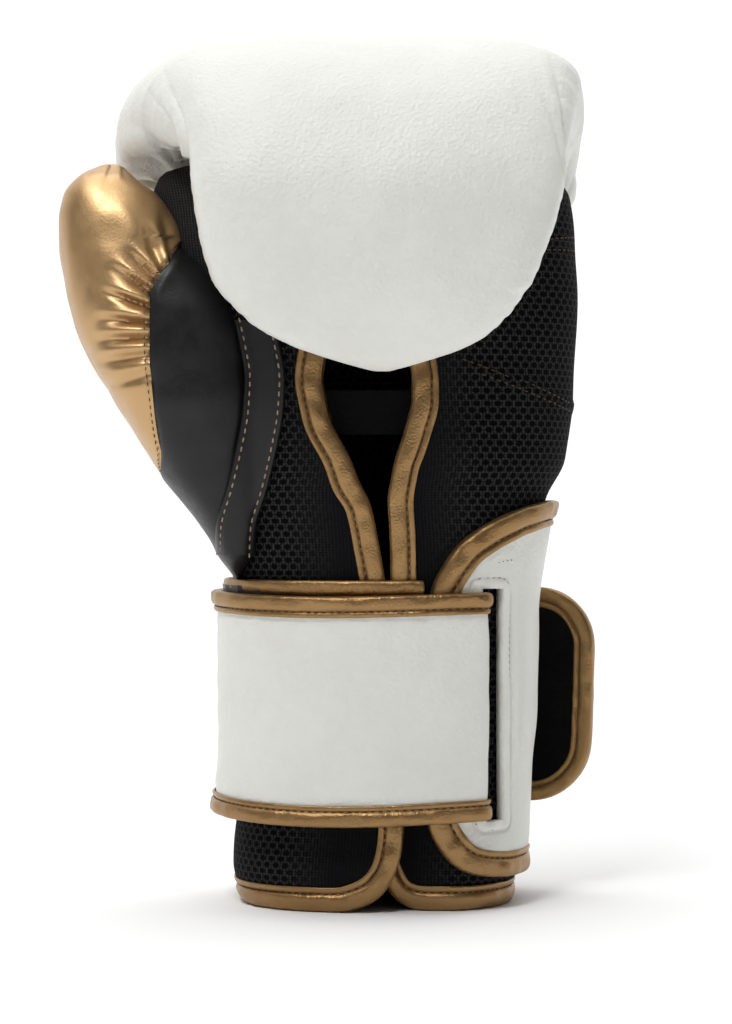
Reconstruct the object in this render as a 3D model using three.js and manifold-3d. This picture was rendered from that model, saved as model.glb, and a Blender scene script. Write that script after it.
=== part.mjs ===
// A left-hand training glove for boxing, standing on its cuff with the palm to the front.
// Millimetres: +X is the little finger's side, +Y the back of the hand, +Z up from the floor.
import * as THREE from "three";
import { mergeVertices } from "three/addons/utils/BufferGeometryUtils.js";
import Module from "manifold-3d";

const wasm = await Module();
wasm.setup();

// Sizes of the mesh shell that holds the hand.
const cuffWidth = 98;
const cuffDepth = 77;
const shellHeight = 253;
const shellWall = 3.5;
const shellPower = 2.4;

// Sizes of the foam fist pad, whose thickness is measured over the shell.
const padWidth = 161;
const crownThickness = 40;
const lobeThickness = 30;
const slabThickness = 34;
const padPower = 3.2;
const padFrontShare = 0.558;
const padBackShare = 0.43;
const pleatDepth = 2.2;

// Sizes of the thumb.
const thumbReach = 108.6;
const thumbDepthShare = 0.78;
const thumbDrop = 5;
const thumbWall = 7;
const thumbPower = 2.4;

// Sizes of the wrist strap and of the bands below it.
const strapBottom = 30.5;
const strapHeight = 75;
const strapThickness = 2.4;
const strapTabLength = 46;
const strapLeaves = 300;
const strapTabRadius = 21;
const strapTabBend = 1.2;
const strapTurn = 5;
const strapEntryShare = 0.34;
const underStrapHeight = 42;
const underStrapShow = 4;
const underStrapThickness = 1.3;

// Sizes of the side panel and its slot.
const panelThickness = 2.2;
const panelHeight = 127;
const panelBottom = 10.5;
const panelFront = 14;
const slotWidth = 9.5;
const slotEdge = 38.6;

// Sizes of the palm opening, the grip strap inside it and the leather strip beside the thumb.
const palmOpeningWidth = 30;
const palmOpeningTop = 200;
const gripHeight = 14.5;
const gripBottom = 157.5;
const gripThickness = 2;
const gripWidth = 50;
const gripShift = 5;
const stripWidth = 13.5;
const stripThickness = 1.8;

// Gold bindings fold round an edge: how wide they are, and how far they stand proud of what they hold.
const edgeBindingWidth = 8.4;
const strapBindingWidth = 7;
const panelBindingWidth = 8.6;
const bindingProud = 1;
const bandProud = 0.6;
const bindingLap = 2;

// The gap between neighbouring pieces, and the steps of the facets.
const gap = 0.3;
const aroundSteps = 24;
const thumbAroundSteps = 20;
const padAroundSteps = 18;
const far = 200;

// What follows from the sizes above.
const padTop = shellHeight + crownThickness;
const thumbTop = shellHeight - thumbDrop;
const thumbDepth = thumbDepthShare * cuffDepth;
const strapTop = strapBottom + strapHeight;
const panelLift = gap;
const panelOuter = panelLift + bandProud * 2 + panelThickness + gap * 2;
const strapLift = panelOuter + gap;
const strapHalf = strapThickness / 2 + bindingProud;
const strapMiddle = strapLift + strapHalf;

// Sections of the shell: heights as shares of shellHeight, sides of cuffWidth, front and back of cuffDepth.
const shellSections = [
  { up: 0.0, left: -0.475, right: 0.44, front: -0.487, back: 0.487 },
  { up: 0.051, left: -0.518, right: 0.464, front: -0.513, back: 0.513 },
  { up: 0.1225, left: -0.505, right: 0.48, front: -0.506, back: 0.506 },
  { up: 0.237, left: -0.49, right: 0.5, front: -0.494, back: 0.5 },
  { up: 0.356, left: -0.49, right: 0.51, front: -0.494, back: 0.5 },
  { up: 0.419, left: -0.505, right: 0.518, front: -0.506, back: 0.5 },
  { up: 0.474, left: -0.536, right: 0.539, front: -0.526, back: 0.494 },
  { up: 0.5375, left: -0.587, right: 0.597, front: -0.545, back: 0.48 },
  { up: 0.593, left: -0.633, right: 0.633, front: -0.558, back: 0.4675 },
  { up: 0.672, left: -0.684, right: 0.658, front: -0.565, back: 0.448 },
  { up: 0.7826, left: -0.735, right: 0.673, front: -0.558, back: 0.422 },
  { up: 0.8775, left: -0.776, right: 0.668, front: -0.545, back: 0.39 },
  { up: 0.9407, left: -0.776, right: 0.648, front: -0.494, back: 0.338 },
  { up: 0.9723, left: -0.714, right: 0.592, front: -0.39, back: 0.247 },
  { up: 0.992, left: -0.51, right: 0.43, front: -0.234, back: 0.117 },
  { up: 1.0, left: -0.2, right: 0.18, front: -0.1, back: -0.01 },
];

// Sections of the thumb: heights as shares of thumbTop, sides of thumbReach, front and back of thumbDepth.
const thumbSections = [
  { up: 0.448, left: -0.502, right: -0.39, front: -0.43, back: 0.14 },
  { up: 0.468, left: -0.511, right: -0.378, front: -0.5, back: 0.183 },
  { up: 0.52, left: -0.575, right: -0.36, front: -0.6, back: 0.25 },
  { up: 0.577, left: -0.68, right: -0.35, front: -0.683, back: 0.267 },
  { up: 0.629, left: -0.755, right: -0.35, front: -0.733, back: 0.267 },
  { up: 0.6855, left: -0.832, right: -0.35, front: -0.767, back: 0.25 },
  { up: 0.738, left: -0.907, right: -0.36, front: -0.767, back: 0.217 },
  { up: 0.794, left: -0.957, right: -0.396, front: -0.75, back: 0.183 },
  { up: 0.847, left: -0.984, right: -0.479, front: -0.7, back: 0.133 },
  { up: 0.887, left: -0.996, right: -0.6, front: -0.65, back: 0.1 },
  { up: 0.927, left: -1.0, right: -0.638, front: -0.6, back: 0.05 },
  { up: 0.96, left: -0.985, right: -0.698, front: -0.533, back: -0.017 },
  { up: 0.984, left: -0.94, right: -0.763, front: -0.45, back: -0.1 },
  { up: 1.0, left: -0.875, right: -0.81, front: -0.31, back: -0.22 },
];

// The seam between the thumb's gold and black leather, with the same shares as the thumb's sections.
const thumbSeam = [
  { up: 0.574, side: -0.665 },
  { up: 0.605, side: -0.677 },
  { up: 0.629, side: -0.687 },
  { up: 0.6855, side: -0.696 },
  { up: 0.738, side: -0.704 },
  { up: 0.8185, side: -0.702 },
  { up: 0.84, side: -0.68 },
  { up: 0.867, side: -0.64 },
  { up: 0.894, side: -0.62 },
  { up: 0.92, side: -0.5 },
];

// Stations of the pad from the back of the wrist over the knuckles to the lobe's tip. deep is a share of
// the pad's reach to the front (below 0) or the back, up of padTop, the sides of padWidth and thick of
// crownThickness.
const padSections = [
  { deep: 0.63, up: 0.382, left: -0.186, right: 0.211, thick: 0.15 },
  { deep: 0.69, up: 0.391, left: -0.248, right: 0.261, thick: 0.3 },
  { deep: 0.77, up: 0.413, left: -0.298, right: 0.304, thick: 0.5 },
  { deep: 0.87, up: 0.468, left: -0.366, right: 0.348, thick: 0.65 },
  { deep: 0.95, up: 0.546, left: -0.429, right: 0.373, thick: 0.75 },
  { deep: 0.99, up: 0.631, left: -0.472, right: 0.385, thick: 0.83 },
  { deep: 1.0, up: 0.717, left: -0.5, right: 0.386, thick: 0.93 },
  { deep: 0.965, up: 0.799, left: -0.535, right: 0.398, thick: 1.05 },
  { deep: 0.84, up: 0.877, left: -0.566, right: 0.428, thick: 1.15 },
  { deep: 0.6, up: 0.945, left: -0.568, right: 0.431, thick: 1.18 },
  { deep: 0.27, up: 0.986, left: -0.559, right: 0.429, thick: 1.15 },
  { deep: -0.08, up: 1.0, left: -0.54, right: 0.422, thick: 1.1 },
  { deep: -0.41, up: 0.986, left: -0.505, right: 0.41, thick: 1.02 },
  { deep: -0.685, up: 0.939, left: -0.452, right: 0.391, thick: 0.95 },
  { deep: -0.877, up: 0.87, left: -0.397, right: 0.373, thick: 0.85 },
  { deep: -0.979, up: 0.799, left: -0.375, right: 0.351, thick: 0.78 },
  { deep: -1.0, up: 0.741, left: -0.36, right: 0.323, thick: 0.75 },
  { deep: -0.986, up: 0.696, left: -0.339, right: 0.292, thick: 0.73 },
  { deep: -0.952, up: 0.662, left: -0.298, right: 0.258, thick: 0.68 },
  { deep: -0.904, up: 0.638, left: -0.252, right: 0.224, thick: 0.58 },
  { deep: -0.842, up: 0.618, left: -0.171, right: 0.152, thick: 0.43 },
  { deep: -0.781, up: 0.608, left: -0.087, right: 0.075, thick: 0.28 },
  { deep: -0.74, up: 0.605, left: -0.031, right: 0.025, thick: 0.13 },
];

// Gathers in the ends of the knuckle roll: from and to are shares of the way along the pad.
const padGathers = [
  { side: -1, from: 0.34, to: 0.66, folds: 8, depth: 1.0 },
  { side: 1, from: 0.36, to: 0.62, folds: 4, depth: 1.2 },
];

// Gathers in the thumb's gold leather beside its seam, as shares of thumbTop.
const thumbGathers = { from: 0.755, to: 0.87, folds: 6, depth: 1.3, facing: -118.6 };

// Edges of the palm's opening and slit: heights as shares of palmOpeningTop, sides of palmOpeningWidth.
const palmOpening = [
  { up: -0.01, left: -0.42, right: 0.42 },
  { up: 0.0, left: -0.38, right: 0.4 },
  { up: 0.017, left: -0.107, right: 0.2 },
  { up: 0.0465, left: 0.077, right: 0.115 },
  { up: 0.095, left: 0.2, right: 0.228 },
  { up: 0.148, left: 0.233, right: 0.26 },
  { up: 0.3, left: 0.15, right: 0.18 },
  { up: 0.535, left: 0.035, right: 0.09 },
  { up: 0.614, left: -0.053, right: 0.08 },
  { up: 0.68, left: -0.15, right: 0.057 },
  { up: 0.7125, left: -0.28, right: 0.09 },
  { up: 0.745, left: -0.357, right: 0.133 },
  { up: 0.778, left: -0.477, right: 0.21 },
  { up: 0.81, left: -0.597, right: 0.273 },
  { up: 0.8435, left: -0.64, right: 0.33 },
  { up: 0.876, left: -0.687, right: 0.33 },
  { up: 0.9, left: -0.665, right: 0.31 },
  { up: 1.0, left: -0.5, right: 0.15 },
];

// The side panel's front outline: heights as shares of panelHeight above panelBottom, and how far its
// edge lies to the little finger's side of panelFront, as a share of cuffWidth.
const panelOutline = [
  { up: 0.0, side: 0.245 },
  { up: 0.012, side: 0.15 },
  { up: 0.042, side: 0.08 },
  { up: 0.083, side: 0.038 },
  { up: 0.152, side: 0.0 },
  { up: 0.5, side: 0.0 },
  { up: 0.75, side: 0.012 },
  { up: 0.822, side: 0.055 },
  { up: 0.874, side: 0.102 },
  { up: 0.92, side: 0.182 },
  { up: 0.963, side: 0.297 },
  { up: 0.997, side: 0.461 },
  { up: 1.01, side: 0.56 },
];

// The leather strip's middle line over the palm beside the thumb: shares of palmOpeningTop and cuffWidth.
const stripLine = [
  { up: 0.588, side: -0.5 },
  { up: 0.63, side: -0.495 },
  { up: 0.7, side: -0.455 },
  { up: 0.76, side: -0.425 },
  { up: 0.83, side: -0.4 },
  { up: 0.88, side: -0.395 },
  { up: 0.93, side: -0.41 },
  { up: 0.975, side: -0.43 },
];

const leatherWhite = new THREE.MeshStandardMaterial({ color: 0xe9eae4, roughness: 0.48, metalness: 0 });
const leatherGold = new THREE.MeshStandardMaterial({ color: 0xa5783f, roughness: 0.4, metalness: 0.55 });
const leatherBlack = new THREE.MeshStandardMaterial({ color: 0x242122, roughness: 0.45, metalness: 0 });
const meshBlack = new THREE.MeshStandardMaterial({ color: 0x18181c, roughness: 0.85, metalness: 0 });

// A smooth curve through one column of a table, which never swings past a row.
function tableCurve(rows, column, unit, alongUnit = 1, alongColumn = "up") {
  const xs = rows.map((row, i) => (alongColumn ? row[alongColumn] : i / (rows.length - 1)) * alongUnit);
  const ys = rows.map((row) => row[column] * (typeof unit === "function" ? unit(row) : unit));
  const slopes = xs.slice(1).map((x, i) => (ys[i + 1] - ys[i]) / (x - xs[i]));
  const tangents = xs.map((_, i) => {
    const before = slopes[Math.max(i - 1, 0)];
    const after = slopes[Math.min(i, slopes.length - 1)];
    return before * after <= 0 ? 0 : (2 * before * after) / (before + after);
  });
  return (x) => {
    const at = Math.min(Math.max(x, xs[0]), xs[xs.length - 1]);
    let i = 0;
    while (i < xs.length - 2 && at > xs[i + 1]) i += 1;
    const width = xs[i + 1] - xs[i];
    const t = (at - xs[i]) / width;
    const t2 = t * t;
    const t3 = t2 * t;
    return (
      (2 * t3 - 3 * t2 + 1) * ys[i] +
      (t3 - 2 * t2 + t) * width * tangents[i] +
      (3 * t2 - 2 * t3) * ys[i + 1] +
      (t3 - t2) * width * tangents[i + 1]
    );
  };
}

// A power that keeps the sign of its base, for rounded boxes.
const signedPower = (value, power) => Math.sign(value) * Math.abs(value) ** power;

// The rounded-box curve with half sizes a and b, at an angle.
function roundBox(a, b, power, angle) {
  return [a * signedPower(Math.cos(angle), 2 / power), b * signedPower(Math.sin(angle), 2 / power)];
}

// Steps from one value to another, both ends included.
const steps = (from, to, count) =>
  Array.from({ length: count + 1 }, (_, i) => from + ((to - from) * i) / count);

// A closed solid from rings of equally many points, joined in order and capped at both ends.
function loft(rings) {
  const count = rings[0].length;
  const vertices = rings.flat();
  const faces = [];
  for (let r = 0; r < rings.length - 1; r += 1) {
    for (let i = 0; i < count; i += 1) {
      const a = r * count + i;
      const b = r * count + ((i + 1) % count);
      faces.push([a, b, b + count], [a, b + count, a + count]);
    }
  }
  const capAt = (ring, flip) => {
    const centre = new THREE.Vector3();
    rings[ring].forEach((point) => centre.addScaledVector(point, 1 / count));
    const middle = vertices.push(centre) - 1;
    for (let i = 0; i < count; i += 1) {
      const a = ring * count + i;
      const b = ring * count + ((i + 1) % count);
      faces.push(flip ? [middle, b, a] : [middle, a, b]);
    }
  };
  capAt(0, true);
  capAt(rings.length - 1, false);
  return solidFrom(vertices, faces);
}

// A manifold solid from points and faces, turned the right way out.
function solidFrom(vertices, faces) {
  const geometry = new THREE.BufferGeometry();
  const places = vertices.flatMap((v) => v.toArray());
  geometry.setAttribute("position", new THREE.Float32BufferAttribute(places, 3));
  geometry.setIndex(faces.flat());
  return solidOf(geometry);
}

// A three.js geometry as a manifold solid.
function solidOf(geometry) {
  geometry.deleteAttribute("normal");
  geometry.deleteAttribute("uv");
  const merged = mergeVertices(geometry, 1e-4);
  const vertProperties = merged.attributes.position.array;
  const triVerts = new Uint32Array(merged.index.array);
  const solid = new wasm.Manifold(new wasm.Mesh({ numProp: 3, vertProperties, triVerts }));
  if (solid.volume() >= 0) return solid;
  for (let i = 0; i < triVerts.length; i += 3) {
    [triVerts[i + 1], triVerts[i + 2]] = [triVerts[i + 2], triVerts[i + 1]];
  }
  return new wasm.Manifold(new wasm.Mesh({ numProp: 3, vertProperties, triVerts }));
}

// A solid as a named three.js mesh. Loose crumbs that a cut leaves behind are dropped.
function meshOf(solid, name, material) {
  const whole = solid.decompose().sort((a, b) => b.volume() - a.volume())[0];
  const cut = whole.getMesh();
  const geometry = new THREE.BufferGeometry();
  geometry.setAttribute("position", new THREE.BufferAttribute(cut.vertProperties.slice(), 3));
  geometry.setIndex(new THREE.BufferAttribute(cut.triVerts.slice(), 1));
  const mesh = new THREE.Mesh(geometry, material);
  mesh.name = name;
  return mesh;
}

// A block between two heights, as wide and deep as the cuts need.
function slab(from, to) {
  const box = new THREE.BoxGeometry(2 * far, 2 * far, to - from);
  return solidOf(box.translate(0, 0, (from + to) / 2));
}

// An outline of [x, z] points pushed through the glove from one depth to another.
function prism(outline, fromY = -far, toY = far) {
  const shape = new THREE.Shape(outline.map(([x, z]) => new THREE.Vector2(x, -z)));
  const box = new THREE.ExtrudeGeometry(shape, { depth: toY - fromY, bevelEnabled: false });
  return solidOf(box.rotateX(-Math.PI / 2).translate(0, fromY, 0));
}

const shellAt = {
  left: tableCurve(shellSections, "left", cuffWidth, shellHeight),
  right: tableCurve(shellSections, "right", cuffWidth, shellHeight),
  front: tableCurve(shellSections, "front", cuffDepth, shellHeight),
  back: tableCurve(shellSections, "back", cuffDepth, shellHeight),
};
const thumbAt = {
  left: tableCurve(thumbSections, "left", thumbReach, thumbTop),
  right: tableCurve(thumbSections, "right", thumbReach, thumbTop),
  front: tableCurve(thumbSections, "front", thumbDepth, thumbTop),
  back: tableCurve(thumbSections, "back", thumbDepth, thumbTop),
};

// A point of a lofted wall at a height and an angle from +X, lifted off the wall's outer face.
function wallPoint(at, power, height, angle, lift) {
  const a = (at.right(height) - at.left(height)) / 2;
  const b = (at.back(height) - at.front(height)) / 2;
  const [x, y] = roundBox(a + lift, b + lift, power, angle);
  const middleX = (at.right(height) + at.left(height)) / 2;
  const middleY = (at.back(height) + at.front(height)) / 2;
  return new THREE.Vector3(middleX + x, middleY + y, height);
}
const shellPoint = (height, angle, lift) => wallPoint(shellAt, shellPower, height, angle, lift);

// How far to the front a lofted wall reaches at a side and a height, or nowhere beside it.
function frontOf(at, power, side, height, lift) {
  const a = (at.right(height) - at.left(height)) / 2 + lift;
  const b = (at.back(height) - at.front(height)) / 2 + lift;
  const share = Math.abs((side - (at.right(height) + at.left(height)) / 2) / a);
  const middle = (at.back(height) + at.front(height)) / 2;
  return share >= 1 ? middle : middle - b * (1 - share ** power) ** (1 / power);
}

// The angle from +X at which the shell's front has a given side.
function frontAngle(side, height, lift) {
  const a = (shellAt.right(height) - shellAt.left(height)) / 2 + lift;
  const share = (side - (shellAt.right(height) + shellAt.left(height)) / 2) / a;
  return -Math.acos(signedPower(share, shellPower / 2));
}

// The heights at which a lofted wall has rings: its table's rows between two heights, and those two.
function ringHeights(sections, unit, from, to) {
  const inside = (height) => height > from + 1 && height < to - 1;
  const between = sections.map((row) => row.up * unit).filter(inside);
  return [from, ...between, to];
}

// The shell's outer form, lifted off its face, between two heights.
function shellForm(lift, from = 0, to = shellHeight + lift) {
  const rings = ringHeights(shellSections, shellHeight, from, to).map((height) =>
    steps(0, 2 * Math.PI, aroundSteps)
      .slice(1)
      .map((angle) => shellPoint(Math.min(height, shellHeight), angle, lift).setZ(height)),
  );
  return loft(rings);
}

// A band of the shell between two lifts and two heights, for what is wrapped round the cuff.
function sleeve(inner, outer, from, to) {
  return shellForm(outer, from, to).subtract(shellForm(inner, from - 2, to + 2));
}

// The palm's opening with its slit, widened on each side, as a cut through the front.
function palmCut(growLeft, growRight) {
  const left = tableCurve(palmOpening, "left", palmOpeningWidth, palmOpeningTop);
  const right = tableCurve(palmOpening, "right", palmOpeningWidth, palmOpeningTop);
  const heights = palmOpening.map((row) => row.up * palmOpeningTop);
  const up = heights.map((height) => [left(height) - growLeft, height]);
  const down = heights.map((height) => [right(height) + growRight, height]).reverse();
  return prism([...up, ...down], -far, 0);
}

// The right flap is bound from the middle of the strap upwards, and runs plain to the left flap below.
const belowRightBinding = () => slab(-far, strapBottom + strapHeight / 2);

// The palm's opening in the cloth, which the bindings lap over on each bound side.
function clothCut(lap) {
  const plain = lap - bindingLap + 3 * gap;
  return palmCut(lap, plain).add(palmCut(0, lap).subtract(belowRightBinding()));
}

// The thumb's outer form, or its inside where the inset is above 0.
function thumbForm(inset, lift = 0) {
  const from = thumbSections[0].up * thumbTop + 2 * inset;
  const to = thumbTop - inset + lift;
  const { folds, depth, facing } = thumbGathers;
  const foldAt = (height) => {
    const share = (height / thumbTop - thumbGathers.from) / (thumbGathers.to - thumbGathers.from);
    if (inset > 0 || share <= 0 || share >= 1) return 0;
    return depth * Math.sin(Math.PI * share) * Math.sin(Math.PI * folds * share) ** 2;
  };
  const tableHeights = ringHeights(thumbSections, thumbTop, from, to);
  const foldHeights = steps(thumbGathers.from, thumbGathers.to, 2 * folds).map((up) => up * thumbTop);
  const allHeights = [...new Set([...tableHeights, ...foldHeights])].sort((a, b) => a - b);
  const heights = inset > 0 ? tableHeights : allHeights;
  const rings = heights.map((height) =>
    steps(0, 2 * Math.PI, thumbAroundSteps)
      .slice(1)
      .map((angle) => {
        const near = Math.max(0, Math.cos(angle - THREE.MathUtils.degToRad(facing))) ** 2;
        return wallPoint(thumbAt, thumbPower, height, angle, lift - inset - foldAt(height) * near);
      }),
  );
  return loft(rings);
}

// The side of the thumb's seam where the gold leather is, moved over by a gap.
function goldSide(shift) {
  const seam = thumbSeam.map((row) => [row.side * thumbReach + shift, row.up * thumbTop - shift]);
  const low = thumbSeam[0].up * thumbTop - shift;
  const high = thumbSeam[thumbSeam.length - 1].up * thumbTop;
  return prism([[-far, low], ...seam, [far, high], [far, 2 * far], [-far, 2 * far]]);
}

// The pad's line, widths and thickness at a share of the way along it.
function padCurves() {
  const frontReach = cuffDepth * padFrontShare + lobeThickness;
  const backReach = cuffDepth * padBackShare + slabThickness;
  const reach = (row) => (row.deep < 0 ? frontReach : backReach);
  return {
    deep: tableCurve(padSections, "deep", reach, 1, null),
    up: tableCurve(padSections, "up", padTop, 1, null),
    left: tableCurve(padSections, "left", padWidth, 1, null),
    right: tableCurve(padSections, "right", padWidth, 1, null),
    thick: tableCurve(padSections, "thick", crownThickness, 1, null),
  };
}

// How deep the gathers are in one end of the pad at a share of the way along it.
function gatherDepth(side, along) {
  const row = padGathers.find((gather) => gather.side === side);
  const share = (along - row.from) / (row.to - row.from);
  if (share <= 0 || share >= 1) return 0;
  return pleatDepth * row.depth * Math.sin(Math.PI * share) * Math.cos(Math.PI * row.folds * share) ** 2;
}

// The fist pad before the shell is cut out of it, lifted off its own faces.
function padForm(lift = 0) {
  const at = padCurves();
  const small = 0.004;
  const { from, to } = padGathers[0];
  const padStations = [...steps(0, from, 9), ...steps(from, to, 24).slice(1), ...steps(to, 1, 13).slice(1)];
  const rings = padStations.map((along) => {
    const alongY = at.deep(along + small) - at.deep(along - small);
    const alongZ = at.up(along + small) - at.up(along - small);
    const length = Math.hypot(alongY, alongZ);
    const outY = alongZ / length;
    const outZ = -alongY / length;
    const a = (at.right(along) - at.left(along)) / 2 + lift;
    const middle = (at.right(along) + at.left(along)) / 2;
    const b = at.thick(along) / 2 + lift;
    return steps(0, 2 * Math.PI, padAroundSteps)
      .slice(1)
      .map((angle) => {
        const [x, out] = roundBox(a, b, padPower, angle);
        const side = Math.sign(x) || 1;
        const facing = Math.abs(Math.cos(angle)) ** 3;
        const across = x - side * gatherDepth(side, along) * facing;
        const deep = out - b + lift;
        return new THREE.Vector3(middle + across, at.deep(along) + outY * deep, at.up(along) + outZ * deep);
      });
  });
  return loft(rings);
}

// The side panel's outline, moved inwards from its edge.
function panelShape(inset) {
  const row = (point) => {
    const share = point.up;
    const height = panelBottom + inset + share * (panelHeight - 2 * inset);
    return [panelFront + inset + point.side * cuffWidth, height];
  };
  const front = panelOutline.map(row);
  return prism([...front, [far, panelBottom + panelHeight - inset], [far, panelBottom + inset]]);
}

// The slot in the side panel that the strap's end passes into.
function slotCut() {
  const low = strapBottom - 1;
  const high = strapTop + 3;
  const left = slotEdge - slotWidth;
  return prism([[left, low], [slotEdge, low], [slotEdge, high], [left, high]], -far, 0);
}

// The strap's way round the cuff, seen from above, at a height: out of the slot, over the palm to the
// thumb's side, over the back, and straight on as the free end.
function strapWay(height) {
  const slotSide = slotEdge - slotWidth * strapEntryShare;
  const start = frontAngle(slotSide, strapBottom + strapHeight / 2, strapMiddle);
  const turn = [4 * gap, strapLift / 2].map((lift) => {
    return shellPoint(height, frontAngle(slotSide, height, lift), lift);
  });
  const corner = [0.5, 1].map((share) => {
    const angle = start - THREE.MathUtils.degToRad(strapTurn * share);
    return shellPoint(height, angle, strapMiddle - strapThickness * (1 - share));
  });
  const stepAngle = (2 * Math.PI) / aroundSteps;
  const first = Math.floor(start / stepAngle - 0.5);
  const leave = Math.round(-THREE.MathUtils.degToRad(strapLeaves) / stepAngle);
  const round = steps(first, leave, first - leave).map((step) => {
    return shellPoint(height, step * stepAngle, strapMiddle);
  });
  const last = round[round.length - 1];
  const heading = last.clone().sub(round[round.length - 2]).normalize();
  const inward = new THREE.Vector3(heading.y, -heading.x, 0);
  const tab = steps(0, Math.PI / 2, 9).slice(1).map((turned) => {
    const share = Math.sin(turned);
    const bend = strapTabBend * share * share;
    return last.clone().addScaledVector(heading, share * strapTabLength).addScaledVector(inward, bend);
  });
  return [...turn, ...corner, ...round, ...tab];
}

// A way cut short at its end by a length.
function shortened(way, length) {
  const kept = [...way];
  let left = length;
  while (left > 0) {
    const last = kept.pop();
    const before = kept[kept.length - 1];
    const step = last.distanceTo(before);
    if (step > left) kept.push(last.clone().lerp(before, left / step));
    left -= step;
  }
  return kept;
}

// A solid of the strap's outline: as thick as given, and inset from its top, bottom and free end.
function strapForm(half, inset) {
  const levels = steps(0, 1, 2);
  const kept = strapHeight - 2 * inset;
  const ways = levels.map((level) => shortened(strapWay(strapBottom + inset + level * kept), inset));
  const count = ways[0].length;
  const middle = ways[1];
  const toEnd = middle.map((_, i) =>
    middle.slice(i + 1).reduce((sum, point, k) => sum + point.distanceTo(middle[i + k]), 0),
  );
  const radius = strapTabRadius - inset;
  const blunt = gap + inset / strapTabRadius;
  const rings = middle.map((_, i) => {
    const left = Math.min(toEnd[i] + blunt, radius);
    const drop = radius - Math.sqrt(radius * radius - (radius - left) ** 2);
    const low = strapBottom + inset + drop;
    const high = strapTop - inset - drop;
    const faceAt = (side) =>
      levels.map((level, k) => {
        const before = ways[k][Math.max(i - 1, 0)];
        const after = ways[k][Math.min(i + 1, count - 1)];
        const along = after.clone().sub(before).setZ(0).normalize();
        const out = new THREE.Vector3(-along.y, along.x, 0);
        return ways[k][i].clone().addScaledVector(out, side * half).setZ(low + (high - low) * level);
      });
    return [...faceAt(-1), ...faceAt(1).reverse()];
  });
  return loft(rings);
}

// The leather strip beside the thumb, laid over the palm and the root of the thumb.
function stripForm() {
  const side = tableCurve(stripLine, "side", cuffWidth, palmOpeningTop);
  const from = stripLine[0].up * palmOpeningTop;
  const to = stripLine[stripLine.length - 1].up * palmOpeningTop;
  const across = steps(-0.5, 0.5, 4);
  const rings = steps(from, to, 16).map((height) => {
    const faceAt = (lift) =>
      across.map((share) => {
        const x = side(height) + share * stripWidth;
        const shell = frontOf(shellAt, shellPower, x, height, gap);
        const thumb = frontOf(thumbAt, thumbPower, x, height, gap);
        return new THREE.Vector3(x, Math.min(shell, thumb) - gap - lift, height);
      });
    return [...faceAt(0), ...faceAt(stripThickness).reverse()];
  });
  return loft(rings);
}

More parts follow.
